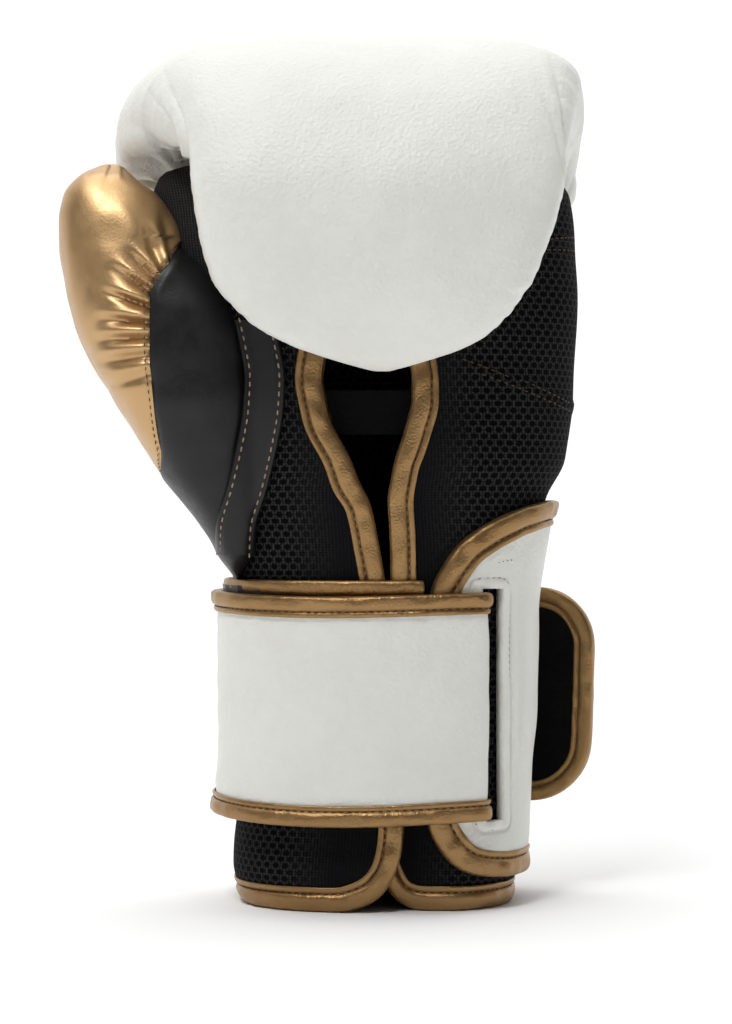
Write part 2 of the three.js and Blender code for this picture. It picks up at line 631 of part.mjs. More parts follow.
// The pieces, from the inside out, each as [name, solid, material].
function glovePieces() {
  const solidShell = shellForm(0);
  const shellClear = shellForm(gap, -2);
  const cloth = solidShell.subtract(shellForm(-shellWall, -5, shellHeight - shellWall));
  const palmShell = cloth
    .subtract(clothCut(bindingLap))
    .subtract(slab(-far, bindingLap))
    .subtract(thumbForm(thumbWall));

  const lift = bindingProud + gap;
  const thick = sleeve(-shellWall - lift, lift, 0, palmOpeningTop);
  const clothClear = sleeve(-shellWall - gap, gap, -2, palmOpeningTop + 2)
    .subtract(clothCut(bindingLap - gap))
    .subtract(slab(-far, bindingLap - gap));
  const bound = thick.subtract(clothClear).subtract(palmCut(0, 0));
  const leftBand = palmCut(edgeBindingWidth, 0).subtract(palmCut(0, far));
  const rightBand = palmCut(0, edgeBindingWidth).subtract(palmCut(far, 0));
  const edgeBinding = bound.intersect(slab(-1, edgeBindingWidth).add(leftBand));
  const palmBinding = bound.intersect(rightBand).subtract(belowRightBinding());

  const thumb = thumbForm(0).subtract(thumbForm(thumbWall)).subtract(shellClear);
  const thumbGold = thumb.intersect(goldSide(0));
  const thumbBlack = thumb.subtract(goldSide(gap));

  const strip = stripForm().subtract(thumbForm(0, gap)).subtract(shellClear);

  const strap = strapForm(strapThickness / 2, bindingLap);
  const strapEdge = strapForm(strapHalf, 0)
    .subtract(strapForm(2 * strapHalf, strapBindingWidth))
    .subtract(strapForm(strapThickness / 2 + gap, bindingLap - gap))
    .subtract(strapForm(strapThickness / 2 + gap / 2, bindingLap - gap / 2));

  const underTop = strapTop + underStrapShow;
  const underLow = underTop - underStrapHeight;
  const underIn = lift + gap + bandProud;
  const underOut = underIn + underStrapThickness;
  const underSide = panelFront - gap - 1;
  const underEnd = prism([[-far, 0], [underSide, 0], [underSide, far], [-far, far]]);
  const underStrap = sleeve(underIn, underOut, underLow, underTop - bindingLap).intersect(underEnd);
  const underEdge = sleeve(lift + gap, underOut + bandProud, underTop - strapBindingWidth, underTop)
    .subtract(sleeve(underIn - gap, underOut + gap, underLow, underTop - bindingLap + gap))
    .intersect(underEnd);

  const panelTop = panelBottom + panelHeight;
  const panelIn = panelLift + bandProud + gap;
  const panelSleeve = (inner, outer) => sleeve(inner, outer, panelBottom - 2, panelTop + 2);
  const panel = panelSleeve(panelIn, panelIn + panelThickness)
    .intersect(panelShape(bindingLap))
    .subtract(slotCut());
  const panelRoom = panelSleeve(panelIn - gap, panelIn + panelThickness + gap);
  const panelEdge = panelSleeve(panelLift, panelOuter)
    .intersect(panelShape(0))
    .subtract(panelShape(panelBindingWidth))
    .subtract(panelRoom.intersect(panelShape(bindingLap - gap)));
  const panelClear = panelSleeve(0, panelOuter + gap).intersect(panelShape(-gap));

  const gripLift = -shellWall - lift - gap;
  const gripLeft = -gripWidth / 2 - gripShift;
  const gripRight = gripWidth / 2 - gripShift;
  const gripSpan = prism([[gripLeft, 0], [gripRight, 0], [gripRight, far], [gripLeft, far]], -far, 0);
  const gripTop = gripBottom + gripHeight;
  const grip = sleeve(gripLift - gripThickness, gripLift, gripBottom, gripTop).intersect(gripSpan);

  const pad = padForm().subtract(shellClear).subtract(panelClear);

  return [
    ["palm_shell", palmShell, meshBlack],
    ["edge_binding", edgeBinding, leatherGold],
    ["palm_binding", palmBinding, leatherGold],
    ["grip_strap", grip, leatherBlack],
    ["fist_pad", pad, leatherWhite],
    ["thumb_outer", thumbGold, leatherGold],
    ["thumb_inner", thumbBlack, leatherBlack],
    ["thumb_strip", strip, leatherBlack],
    ["under_strap", underStrap, leatherBlack],
    ["under_strap_binding", underEdge, leatherGold],
    ["side_panel", panel, leatherWhite],
    ["side_panel_binding", panelEdge, leatherGold],
    ["wrist_strap", strap, leatherWhite],
    ["wrist_strap_binding", strapEdge, leatherGold],
  ];
}

const glove = new THREE.Group();
glovePieces().forEach(([name, solid, material]) => glove.add(meshOf(solid, name, material)));

// The origin is the middle of the glove's bounding box, on the floor.
const box = new THREE.Box3().setFromObject(glove);
glove.position.set(-(box.min.x + box.max.x) / 2, -(box.min.y + box.max.y) / 2, -box.min.z);

export default glove;
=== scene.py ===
"""The looks of a left-hand boxing glove that stands on its cuff, palm to the front.

Shapes are worked out in millimetres with the cuff's middle as the origin, and moved to the
frame's place.
"""

import math

import bmesh
import bpy
import numpy as np
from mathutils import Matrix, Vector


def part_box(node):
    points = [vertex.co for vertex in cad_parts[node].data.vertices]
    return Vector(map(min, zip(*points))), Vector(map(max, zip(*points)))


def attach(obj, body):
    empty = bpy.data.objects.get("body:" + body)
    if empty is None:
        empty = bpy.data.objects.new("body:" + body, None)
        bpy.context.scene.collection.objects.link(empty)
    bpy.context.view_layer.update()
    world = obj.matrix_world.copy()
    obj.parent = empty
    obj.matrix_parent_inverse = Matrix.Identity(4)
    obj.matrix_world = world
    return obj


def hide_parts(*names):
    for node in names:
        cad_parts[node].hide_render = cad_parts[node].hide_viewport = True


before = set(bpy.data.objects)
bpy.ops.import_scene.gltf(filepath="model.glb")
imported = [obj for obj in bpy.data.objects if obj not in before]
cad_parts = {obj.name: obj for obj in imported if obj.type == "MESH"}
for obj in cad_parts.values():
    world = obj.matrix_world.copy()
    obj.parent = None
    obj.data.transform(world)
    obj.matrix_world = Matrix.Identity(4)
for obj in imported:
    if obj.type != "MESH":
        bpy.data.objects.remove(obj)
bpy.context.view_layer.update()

CUFF_WIDTH = 98.0
CUFF_DEPTH = 77.0
SHELL_HEIGHT = 253.0
SHELL_WALL = 3.5
SHELL_POWER = 2.4
PAD_WIDTH = 161.0
CROWN = 40.0
LOBE_REACH = CUFF_DEPTH * 0.558 + 30.0
SLAB_REACH = CUFF_DEPTH * 0.43 + 34.0
PAD_POWER = 3.2
PAD_TOP = SHELL_HEIGHT + CROWN
THUMB_REACH = 108.6
THUMB_DEPTH = 0.78 * CUFF_DEPTH
THUMB_TOP = SHELL_HEIGHT - 5.0
THUMB_WALL = 7.0
THUMB_POWER = 2.4
STRAP_BOTTOM = 30.5
STRAP_HEIGHT = 75.0
STRAP_TOP = STRAP_BOTTOM + STRAP_HEIGHT
STRAP_MIDDLE = 6.8
STRAP_HALF = 1.2
STRAP_TAB = 46.0
STRAP_RADIUS = 21.0
PANEL_BOTTOM = 10.5
PANEL_HEIGHT = 127.0
PANEL_FRONT = 14.0
PANEL_IN = 1.2
PANEL_THICK = 2.2
SLOT_EDGE = 38.6
SLOT_WIDTH = 9.5
OPENING_WIDTH = 30.0
OPENING_TOP = 200.0
STRIP_WIDTH = 13.5
EDGE_WIDTH = 8.4
STRAP_EDGE_WIDTH = 7.0
PANEL_EDGE_WIDTH = 8.6
LAP = 2.0
GAP = 0.3
PATH_STEP = 0.9
STITCH_STEP = 0.8

# Heights as shares of the shell's height, sides of the cuff's width, front and back of its depth.
SHELL_ROWS = np.array([
    [0.0, -0.475, 0.44, -0.487, 0.487],
    [0.051, -0.518, 0.464, -0.513, 0.513],
    [0.1225, -0.505, 0.48, -0.506, 0.506],
    [0.237, -0.49, 0.5, -0.494, 0.5],
    [0.356, -0.49, 0.51, -0.494, 0.5],
    [0.419, -0.505, 0.518, -0.506, 0.5],
    [0.474, -0.536, 0.539, -0.526, 0.494],
    [0.5375, -0.587, 0.568, -0.545, 0.48],
    [0.593, -0.633, 0.633, -0.558, 0.4675],
    [0.672, -0.684, 0.658, -0.565, 0.448],
    [0.7826, -0.735, 0.673, -0.558, 0.422],
    [0.8775, -0.776, 0.668, -0.545, 0.39],
    [0.9407, -0.79, 0.648, -0.494, 0.338],
    [0.9723, -0.765, 0.592, -0.39, 0.247],
    [0.992, -0.6, 0.43, -0.234, 0.117],
    [1.0, -0.2, 0.18, -0.1, -0.01],
])
# The same for the thumb, as shares of its top, reach and depth.
THUMB_ROWS = np.array([
    [0.448, -0.502, -0.39, -0.43, 0.14],
    [0.468, -0.511, -0.378, -0.5, 0.183],
    [0.52, -0.575, -0.36, -0.6, 0.25],
    [0.577, -0.68, -0.35, -0.683, 0.267],
    [0.629, -0.755, -0.35, -0.733, 0.267],
    [0.6855, -0.832, -0.35, -0.767, 0.25],
    [0.738, -0.907, -0.36, -0.767, 0.217],
    [0.794, -0.957, -0.396, -0.75, 0.183],
    [0.847, -0.984, -0.479, -0.7, 0.133],
    [0.887, -0.996, -0.6, -0.65, 0.1],
    [0.927, -1.0, -0.638, -0.6, 0.05],
    [0.96, -0.985, -0.698, -0.533, -0.017],
    [0.984, -0.94, -0.763, -0.45, -0.1],
    [1.0, -0.89, -0.8, -0.33, -0.2],
])
THUMB_SEAM = np.array([
    [0.574, -0.665], [0.605, -0.677], [0.629, -0.687], [0.6855, -0.696], [0.738, -0.704],
    [0.8185, -0.702], [0.84, -0.68], [0.867, -0.64], [0.894, -0.62], [0.92, -0.605],
])
# Stations along the pad: reach to the front or back, height, left, right, thickness.
PAD_ROWS = np.array([
    [0.63, 0.382, -0.186, 0.211, 0.15],
    [0.69, 0.391, -0.248, 0.261, 0.3],
    [0.77, 0.413, -0.298, 0.304, 0.5],
    [0.87, 0.468, -0.366, 0.348, 0.65],
    [0.95, 0.546, -0.429, 0.373, 0.75],
    [0.99, 0.631, -0.455, 0.38, 0.83],
    [1.0, 0.717, -0.462, 0.383, 0.93],
    [0.965, 0.799, -0.48, 0.392, 1.05],
    [0.89, 0.855, -0.54, 0.416, 1.12],
    [0.82, 0.884, -0.577, 0.43, 1.15],
    [0.6, 0.945, -0.586, 0.433, 1.18],
    [0.27, 0.986, -0.576, 0.431, 1.15],
    [-0.08, 1.0, -0.558, 0.423, 1.1],
    [-0.41, 0.986, -0.505, 0.41, 1.02],
    [-0.685, 0.939, -0.452, 0.391, 0.95],
    [-0.877, 0.87, -0.397, 0.373, 0.85],
    [-0.979, 0.799, -0.375, 0.351, 0.78],
    [-1.0, 0.741, -0.36, 0.323, 0.75],
    [-0.986, 0.696, -0.339, 0.292, 0.73],
    [-0.952, 0.662, -0.298, 0.258, 0.68],
    [-0.904, 0.638, -0.252, 0.224, 0.58],
    [-0.842, 0.618, -0.171, 0.152, 0.43],
    [-0.781, 0.608, -0.087, 0.075, 0.28],
    [-0.74, 0.605, -0.031, 0.025, 0.13],
])
# Edges of the palm's opening: height as a share of its top, left and right of its width.
OPENING_ROWS = np.array([
    [-0.01, -0.42, 0.42], [0.0, -0.38, 0.4], [0.017, -0.107, 0.2], [0.0465, 0.077, 0.115],
    [0.095, 0.2, 0.228], [0.148, 0.233, 0.26], [0.3, 0.15, 0.18], [0.535, 0.035, 0.09],
    [0.614, -0.053, 0.08], [0.68, -0.15, 0.057], [0.7125, -0.28, 0.09], [0.745, -0.357, 0.133],
    [0.778, -0.477, 0.21], [0.81, -0.597, 0.273], [0.8435, -0.64, 0.33], [0.876, -0.687, 0.33],
    [0.9, -0.665, 0.31], [1.0, -0.5, 0.15],
])
PANEL_ROWS = np.array([
    [0.0, 0.245], [0.012, 0.15], [0.042, 0.08], [0.083, 0.038], [0.152, 0.0], [0.5, 0.0],
    [0.75, 0.012], [0.822, 0.055], [0.874, 0.102], [0.92, 0.182], [0.963, 0.297], [0.997, 0.461],
    [1.01, 0.56],
])
STRIP_ROWS = np.array([
    [0.588, -0.5], [0.63, -0.495], [0.7, -0.455], [0.76, -0.425], [0.83, -0.4], [0.88, -0.395],
    [0.93, -0.41], [0.975, -0.43],
])

low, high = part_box("palm_shell")
SHIFT = np.array([
    low.x * 1000 - SHELL_ROWS[:, 1].min() * CUFF_WIDTH,
    high.y * 1000 - SHELL_ROWS[:, 4].max() * CUFF_DEPTH,
    0.0,
])


# Curves and walls.
def curve(xs, ys):
    """A smooth curve through points, which never swings past one."""
    slopes = np.diff(ys) / np.diff(xs)
    before = np.r_[slopes[0], slopes]
    after = np.r_[slopes, slopes[-1]]
    total = before + after
    tangents = np.where(before * after > 0, 2 * before * after / np.where(total == 0, 1, total), 0)

    def at(x):
        x = np.clip(x, xs[0], xs[-1])
        i = np.clip(np.searchsorted(xs, x, side="right") - 1, 0, len(xs) - 2)
        width = xs[i + 1] - xs[i]
        t = (x - xs[i]) / width
        return (
            (2 * t**3 - 3 * t**2 + 1) * ys[i]
            + (t**3 - 2 * t**2 + t) * width * tangents[i]
            + (3 * t**2 - 2 * t**3) * ys[i + 1]
            + (t**3 - t**2) * width * tangents[i + 1]
        )

    return at


def wall_curves(rows, width, depth, height):
    xs = rows[:, 0] * height
    units = (width, width, depth, depth)
    return [curve(xs, rows[:, k + 1] * unit) for k, unit in enumerate(units)]


SHELL = wall_curves(SHELL_ROWS, CUFF_WIDTH, CUFF_DEPTH, SHELL_HEIGHT)
THUMB = wall_curves(THUMB_ROWS, THUMB_REACH, THUMB_DEPTH, THUMB_TOP)


def signed(value, power):
    return np.sign(value) * np.abs(value) ** power


def wall(sides, power, z, angle, lift):
    """Points of a wall at heights and angles from +X, lifted off it."""
    left, right, front, back = (side(z) for side in sides)
    wide, deep = np.maximum((right - left) / 2 + lift, 0.2), np.maximum((back - front) / 2 + lift, 0.2)
    x = (right + left) / 2 + wide * signed(np.cos(angle), 2 / power)
    y = (back + front) / 2 + deep * signed(np.sin(angle), 2 / power)
    return np.stack(np.broadcast_arrays(x, y, z), -1)


def front_of(sides, power, x, z, lift):
    """How far to the front a wall reaches."""
    left, right, front, back = (side(z) for side in sides)
    share = np.clip(np.abs(x - (right + left) / 2) / ((right - left) / 2 + lift), 0, 1)
    middle = (back + front) / 2
    return middle - ((back - front) / 2 + lift) * (1 - share**power) ** (1 / power)


def smooth(value, start, end):
    t = np.clip((value - start) / (end - start), 0, 1)
    return t * t * (3 - 2 * t)


STEP = math.radians(0.25)
FRONT_COLUMN = 720
ANGLES = np.radians(-270) + STEP * np.arange(2 * FRONT_COLUMN + 1)
HEIGHTS = np.arange(0.0, SHELL_HEIGHT + 1)
GIRTH = np.arange(-240.0, 241.0)
_ring = wall(SHELL, SHELL_POWER, HEIGHTS[:, None], ANGLES[None, :], 0.0)[..., :2]
_long = np.zeros(_ring.shape[:2])
_long[:, 1:] = np.cumsum(np.linalg.norm(np.diff(_ring, axis=1), axis=-1), axis=1)
LONG = _long - _long[:, FRONT_COLUMN:FRONT_COLUMN + 1]
HALF = LONG[:, -1]
TURN = np.array([np.interp(GIRTH, row, ANGLES) for row in LONG])


def look(table, row, column):
    """Bilinear look-up in a table."""
    row = np.clip(row, 0, table.shape[0] - 1.001)
    column = np.clip(column, 0, table.shape[1] - 1.001)
    i, j = row.astype(int), column.astype(int)
    a, b = row - i, column - j
    upper = table[i, j] * (1 - b) + table[i, j + 1] * b
    lower = table[i + 1, j] * (1 - b) + table[i + 1, j + 1] * b
    return upper * (1 - a) + lower * a


def shell_at(u, z, lift=0.0):
    """A point of the shell: u mm round from the middle of the front, at a height, lifted off it."""
    u, z, lift = np.broadcast_arrays(np.asarray(u, float), np.asarray(z, float), np.asarray(lift, float))
    held = np.clip(z, 0, SHELL_HEIGHT - 0.001)
    half = np.interp(held, HEIGHTS, HALF)
    round_u = (u + half) % (2 * half) - half
    angle = look(TURN, held, round_u - GIRTH[0])
    points = wall(SHELL, SHELL_POWER, held, angle, lift)
    points[..., 2] = z
    return points


def shell_u(x, z):
    """How far round the shell's front a side lies."""
    held = np.clip(np.asarray(z, float), 0, SHELL_HEIGHT - 0.001)
    left, right = SHELL[0](held), SHELL[1](held)
    share = np.clip((x - (right + left) / 2) / ((right - left) / 2), -1, 1)
    angle = -np.arccos(signed(share, SHELL_POWER / 2))
    return look(LONG, held, (angle - ANGLES[0]) / STEP)


WAVES = 14


def noise(seed, wavelength):
    """A smooth random field of points, about -1 to 1."""
    rng = np.random.default_rng(seed)
    waves = rng.normal(size=(WAVES, 3))
    waves /= np.linalg.norm(waves, axis=1, keepdims=True)
    waves *= 2 * np.pi / (wavelength * rng.uniform(0.7, 1.5, (WAVES, 1)))
    phases = rng.uniform(0, 2 * np.pi, WAVES)

    def at(points):
        return np.sin(points @ waves.T + phases).sum(-1) / math.sqrt(WAVES)

    return at


# Meshes.
FLAP_ROUNDS = 3


def is_flap(face):
    """Whether more than one edge of a face isn't shared by exactly two faces."""
    return sum(len(edge.link_faces) != 2 for edge in face.edges) > 1


def object_of(name, verts, faces, material, uv=None):
    mesh = bpy.data.meshes.new(name)
    mesh.from_pydata(((np.asarray(verts) + SHIFT) / 1000).tolist(), [], faces)
    if uv is not None:
        layer = mesh.uv_layers.new(name="UVMap")
        loops = np.zeros(len(mesh.loops), np.int64)
        mesh.loops.foreach_get("vertex_index", loops)
        layer.data.foreach_set("uv", (np.asarray(uv)[loops] / 1000).astype(np.float32).ravel())
    work = bmesh.new()
    work.from_mesh(mesh)
    bmesh.ops.remove_doubles(work, verts=work.verts, dist=1e-6)
    for _ in range(FLAP_ROUNDS):
        flaps = [face for face in work.faces if is_flap(face)]
        bmesh.ops.delete(work, geom=flaps, context="FACES")
    bmesh.ops.recalc_face_normals(work, faces=work.faces)
    work.to_mesh(mesh)
    work.free()
    mesh.polygons.foreach_set("use_smooth", np.ones(len(mesh.polygons), bool))
    mesh.materials.append(material)
    made = bpy.data.objects.new(name, mesh)
    bpy.context.scene.collection.objects.link(made)
    return made


def piece(made, slot, *nodes):
    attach(made, "root")
    if nodes:
        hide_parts(*nodes)
    return made


def quads(index):
    """Quads of a grid of vertex numbers."""
    return np.stack([index[:-1, :-1], index[:-1, 1:], index[1:, 1:], index[1:, :-1]], -1)


def sheet_mesh(outer, inner, keep=None):
    """Vertices and faces of a closed skin between two grids, over the quads that are kept."""
    rows, columns = outer.shape[:2]
    if keep is None:
        keep = np.ones((rows - 1, columns - 1), bool)
    count = rows * columns
    index = np.arange(count).reshape(rows, columns)
    faces = [quads(index)[keep], quads(index)[keep][:, ::-1] + count]
    padded = np.pad(keep, 1)
    inside = padded[1:-1, 1:-1]
    sides = (
        (padded[:-2, 1:-1], index[:-1, :-1], index[:-1, 1:]),
        (padded[2:, 1:-1], index[1:, 1:], index[1:, :-1]),
        (padded[1:-1, :-2], index[1:, :-1], index[:-1, :-1]),
        (padded[1:-1, 2:], index[:-1, 1:], index[1:, 1:]),
    )
    for beside, a, b in sides:
        edge = inside & ~beside
        faces.append(np.stack([b[edge], a[edge], a[edge] + count, b[edge] + count], -1))
    faces = np.concatenate(faces)
    used = np.unique(faces)
    lookup = np.zeros(2 * count, np.int64)
    lookup[used] = np.arange(len(used))
    verts = np.concatenate([outer.reshape(-1, 3), inner.reshape(-1, 3)])[used]
    return verts, lookup[faces].tolist(), used % count


def tube_mesh(grid):
    """Vertices and faces of a closed solid from rings, capped at both ends."""
    rows, columns = grid.shape[:2]
    index = np.arange(rows * columns).reshape(rows, columns)
    index = np.concatenate([index, index[:, :1]], 1)
    faces = quads(index).reshape(-1, 4).tolist()
    faces.append(index[0, :-1][::-1].tolist())
    faces.append(index[-1, :-1].tolist())
    return grid.reshape(-1, 3), faces


def resample(path, step):
    """A line of points at even steps."""
    path = np.asarray(path, float)
    way = np.r_[0, np.cumsum(np.linalg.norm(np.diff(path, axis=0), axis=1))]
    count = max(2, int(round(way[-1] / step)) + 1)
    at = np.linspace(0, way[-1], count)
    return np.stack([np.interp(at, way, path[:, k]) for k in range(path.shape[1])], 1)


def soften(path, rounds):
    path = np.array(path, float)
    for _ in range(rounds):
        path[1:-1] = (path[:-2] + 2 * path[1:-1] + path[2:]) / 4
    return path


def sideways(path, side):
    along = np.gradient(path, axis=0)
    along /= np.linalg.norm(along, axis=1, keepdims=True)
    return side * np.stack([-along[:, 1], along[:, 0]], 1)


# The outside of a folded binding: share of its width from the edge, and height as a share of the roll's.
ROLL = np.array([
    [1.0, 0.1], [0.992, 0.3], [0.965, 0.44], [0.92, 0.5], [0.86, 0.5], [0.8, 0.42], [0.765, 0.27],
    [0.745, 0.12], [0.725, 0.1], [0.705, 0.2], [0.68, 0.42], [0.63, 0.68], [0.56, 0.87], [0.46, 0.98],
    [0.35, 1.0], [0.24, 0.96], [0.15, 0.85], [0.08, 0.66], [0.03, 0.38], [0.005, 0.05],
])


def fold_profile(width, above, below, roll, inner_roll):
    """A binding's closed section: distance from its edge, and height over what it holds."""
    shape = ROLL * [width, 1.0]
    outer = np.stack([shape[:, 0], above + shape[:, 1] * roll], 1)
    inner = np.stack([shape[::-1, 0], -below - shape[::-1, 1] * inner_roll], 1)
    nose = np.array([[-0.012 * width, above * 0.4], [-0.012 * width, -below * 0.4]])
    inside = np.array([
        [width * 0.99, -below - 0.03],
        [LAP * 0.8, -below - 0.03],
        [LAP * 0.8, above + 0.03],
        [width * 0.99, above + 0.03],
    ])
    return np.concatenate([outer, nose, inner, inside])


PUCKER = 0.1


def binding_grid(surface, path, side, profile, seed, base=0.0):
    across = sideways(path, side)
    u = path[:, :1] + across[:, :1] * profile[:, 0]
    v = path[:, 1:] + across[:, 1:] * profile[:, 0]
    flat = np.stack([u, v, np.zeros_like(u)], -1)
    ripple = 1 + PUCKER * noise(seed, 7.0)(flat)
    height = profile[:, 1] * np.where(np.abs(profile[:, 1]) > 0.5, ripple, 1.0)
    return surface(u, v, base + height)


def stitch_mesh(centres, along, out, length, radius):
    """Small rounded stitches as one mesh."""
    steps = np.array([-0.5, -0.44, -0.25, 0.0, 0.25, 0.44, 0.5])
    sizes = np.array([0.25, 0.7, 0.95, 1.0, 0.95, 0.7, 0.25])
    turns = np.arange(8) * 2 * np.pi / 8
    side = np.cross(out, along)
    sized = radius * sizes[None, :, None, None]
    rings = (
        centres[:, None, None]
        + along[:, None, None] * (steps * length)[None, :, None, None]
        + side[:, None, None] * (sized * np.cos(turns)[None, None, :, None])
        + out[:, None, None] * (0.8 * sized * np.sin(turns)[None, None, :, None])
    )
    verts, faces = [], []
    for k in range(len(centres)):
        v, f = tube_mesh(rings[k])
        offset = k * len(v)
        verts.append(v)
        faces += [[n + offset for n in face] for face in f]
    return np.concatenate(verts), faces


class Stitches:
    """Stitches of one thread, gathered into one piece."""

    def __init__(self):
        self.verts, self.faces, self.count = [], [], 0

    def row(self, line, out, pitch, length, radius):
        line = np.asarray(line, float)
        even = resample(line, pitch)
        if len(even) < 3:
            return
        way = np.r_[0, np.cumsum(np.linalg.norm(np.diff(line, axis=0), axis=1))]
        at = np.linspace(0, way[-1], len(even))
        out = np.stack([np.interp(at, way, out[:, k]) for k in range(3)], 1)
        out /= np.linalg.norm(out, axis=1, keepdims=True)
        along = np.gradient(even, axis=0)
        along /= np.linalg.norm(along, axis=1, keepdims=True)
        v, f = stitch_mesh(even, along, out, length, radius)
        self.verts.append(v)
        self.faces += [[n + self.count for n in face] for face in f]
        self.count += len(v)

    def on(self, surface, path, lift, pitch, length, radius):
        path = resample(path, STITCH_STEP)
        line = surface(path[:, 0], path[:, 1], lift)
        out = surface(path[:, 0], path[:, 1], lift + 1.0) - line
        self.row(line, out, pitch, length, radius)

    def make(self, name, material, slot):
        return piece(object_of(name, np.concatenate(self.verts), self.faces, material), slot)


# Materials.
class Nodes:
    """A short way to write a material's nodes."""

    def __init__(self, name):
        self.material = bpy.data.materials.new(name)
        self.material.use_nodes = True
        self.tree = self.material.node_tree
        self.shader = next(n for n in self.tree.nodes if n.type == "BSDF_PRINCIPLED")

    def put(self, socket, value):
        if isinstance(value, bpy.types.NodeSocket):
            self.tree.links.new(value, socket)
        else:
            socket.default_value = value

    def node(self, kind, out=0, settings=None, **inputs):
        made = self.tree.nodes.new(kind)
        for key, value in (settings or {}).items():
            setattr(made, key, value)
        for key, value in inputs.items():
            name = int(key[1:]) if key[0] == "_" else key.replace("_", " ")
            self.put(made.inputs[name], value)
        return made.outputs[out]

    def math(self, operation, a, b=0.0, c=0.0):
        return self.node("ShaderNodeMath", settings={"operation": operation}, _0=a, _1=b, _2=c)

    def mix(self, factor, a, b):
        made = self.tree.nodes.new("ShaderNodeMix")
        made.data_type = "RGBA"
        self.put(made.inputs[0], factor)
        self.put(made.inputs[6], a)
        self.put(made.inputs[7], b)
        return made.outputs[2]

    def ramp(self, value, low, high, to_low=0.0, to_high=1.0):
        return self.node(
            "ShaderNodeMapRange", settings={"interpolation_type": "SMOOTHSTEP"},
            Value=value, From_Min=low, From_Max=high, To_Min=to_low, To_Max=to_high,
        )

    def noise(self, where, scale, detail=3.0, rough=0.55):
        return self.node("ShaderNodeTexNoise", Vector=where, Scale=scale, Detail=detail, Roughness=rough)

    def bump(self, height, distance, normal=None):
        made = self.node("ShaderNodeBump", Height=height, Distance=distance, Strength=1.0)
        if normal is not None:
            self.put(made.node.inputs["Normal"], normal)
        return made

    def finish(self, **inputs):
        for key, value in inputs.items():
            self.put(self.shader.inputs[key.replace("_", " ")], value)
        return self.material


def leather(
    name, dark, light, rough, grain, grain_size, metallic=0.0, wrinkle=0.0002, coat=0.0, specular=0.5,
):
    n = Nodes(name)
    where = n.node("ShaderNodeTexCoord", out=3)
    cells = n.node(
        "ShaderNodeTexVoronoi", settings={"feature": "SMOOTH_F1"},
        Vector=where, Scale=1 / grain_size, Smoothness=0.7,
    )
    fine = n.noise(where, 1 / (grain_size * 0.45), 3.0)
    broad = n.noise(where, 1 / 0.03, 4.0)
    creases = n.noise(where, 1 / 0.0045, 5.0, 0.6)
    pebble = n.math("ADD", cells, n.math("MULTIPLY", fine, 0.5))
    first = n.bump(creases, wrinkle)
    second = n.bump(pebble, grain, normal=first)
    tone = n.math("ADD", n.math("MULTIPLY", broad, 0.6), n.math("MULTIPLY", creases, 0.4))
    return n.finish(
        Base_Color=n.mix(n.ramp(tone, 0.35, 0.65), (*dark, 1), (*light, 1)),
        Roughness=n.ramp(creases, 0.3, 0.7, rough - 0.05, rough + 0.06),
        Metallic=metallic,
        Specular_IOR_Level=specular,
        Coat_Weight=coat,
        Coat_Roughness=0.35,
        Normal=second,
    )


def air_mesh(name):
    """Knit with staggered holes, which fade into a fine rib near the middle of the palm."""
    n = Nodes(name)
    uv = n.node("ShaderNodeUVMap", settings={"uv_map": "UVMap"})
    split = n.tree.nodes.new("ShaderNodeSeparateXYZ")
    n.put(split.inputs[0], uv)
    u, v = split.outputs[0], split.outputs[1]
    along = n.math("MULTIPLY", u, 1 / 0.0036)
    up = n.math("MULTIPLY", v, 1 / 0.0043)

    def holes(shift):
        x = n.math("SUBTRACT", n.math("FRACT", n.math("ADD", along, shift)), 0.5)
        y = n.math("SUBTRACT", n.math("FRACT", n.math("ADD", up, shift)), 0.5)
        wide = n.math("MULTIPLY", n.math("MULTIPLY", x, x), 5.6)
        tall = n.math("MULTIPLY", n.math("MULTIPLY", y, y), 15.0)
        return n.math("ADD", wide, tall)

    near = n.math("MINIMUM", holes(0.0), holes(0.5))
    hole = n.ramp(near, 0.42, 0.85, 1.0, 0.0)
    there = n.ramp(n.math("ABSOLUTE", u), 0.012, 0.034)
    gusset = n.math("MULTIPLY", n.ramp(v, 0.2, 0.215), n.ramp(u, -0.02, -0.03))
    hole = n.math("MULTIPLY", n.math("MULTIPLY", hole, there), n.math("SUBTRACT", 1.0, gusset))
    rib = n.math("SINE", n.math("MULTIPLY", u, 2 * math.pi / 0.00115))
    weave = n.math("SINE", n.math("MULTIPLY", v, 2 * math.pi / 0.0009))
    knit = n.math("ADD", rib, n.math("MULTIPLY", weave, 0.5))
    where = n.node("ShaderNodeTexCoord", out=3)
    fuzz = n.noise(where, 1 / 0.0006, 3.0)
    knit = n.math("ADD", n.math("MULTIPLY", knit, 0.25), fuzz)
    height = n.math("SUBTRACT", n.math("MULTIPLY", knit, 0.22), hole)
    # The change from fine rib to holes is real; the threads' colour is painted shade in the palm's middle
    # and painted sheen on the holed sides.
    threads_light_and_shade = n.mix(there, (0.008, 0.008, 0.009, 1), (0.040, 0.038, 0.038, 1))
    knitted = n.mix(n.ramp(knit, 0.0, 1.0), (0.003, 0.003, 0.004, 1), threads_light_and_shade)
    colour = n.mix(hole, knitted, (0.0012, 0.0012, 0.0015, 1))
    return n.finish(
        Base_Color=colour, Roughness=0.78, Normal=n.bump(height, 0.0006), Specular_IOR_Level=0.06,
    )


def plain_thread(name, dark, light):
    n = Nodes(name)
    where = n.node("ShaderNodeTexCoord", out=3)
    twist = n.noise(where, 1 / 0.0005, 2.0)
    return n.finish(
        Base_Color=n.mix(n.ramp(twist, 0.3, 0.7), (*dark, 1), (*light, 1)), Roughness=0.6,
        Normal=n.bump(twist, 0.0002),
    )


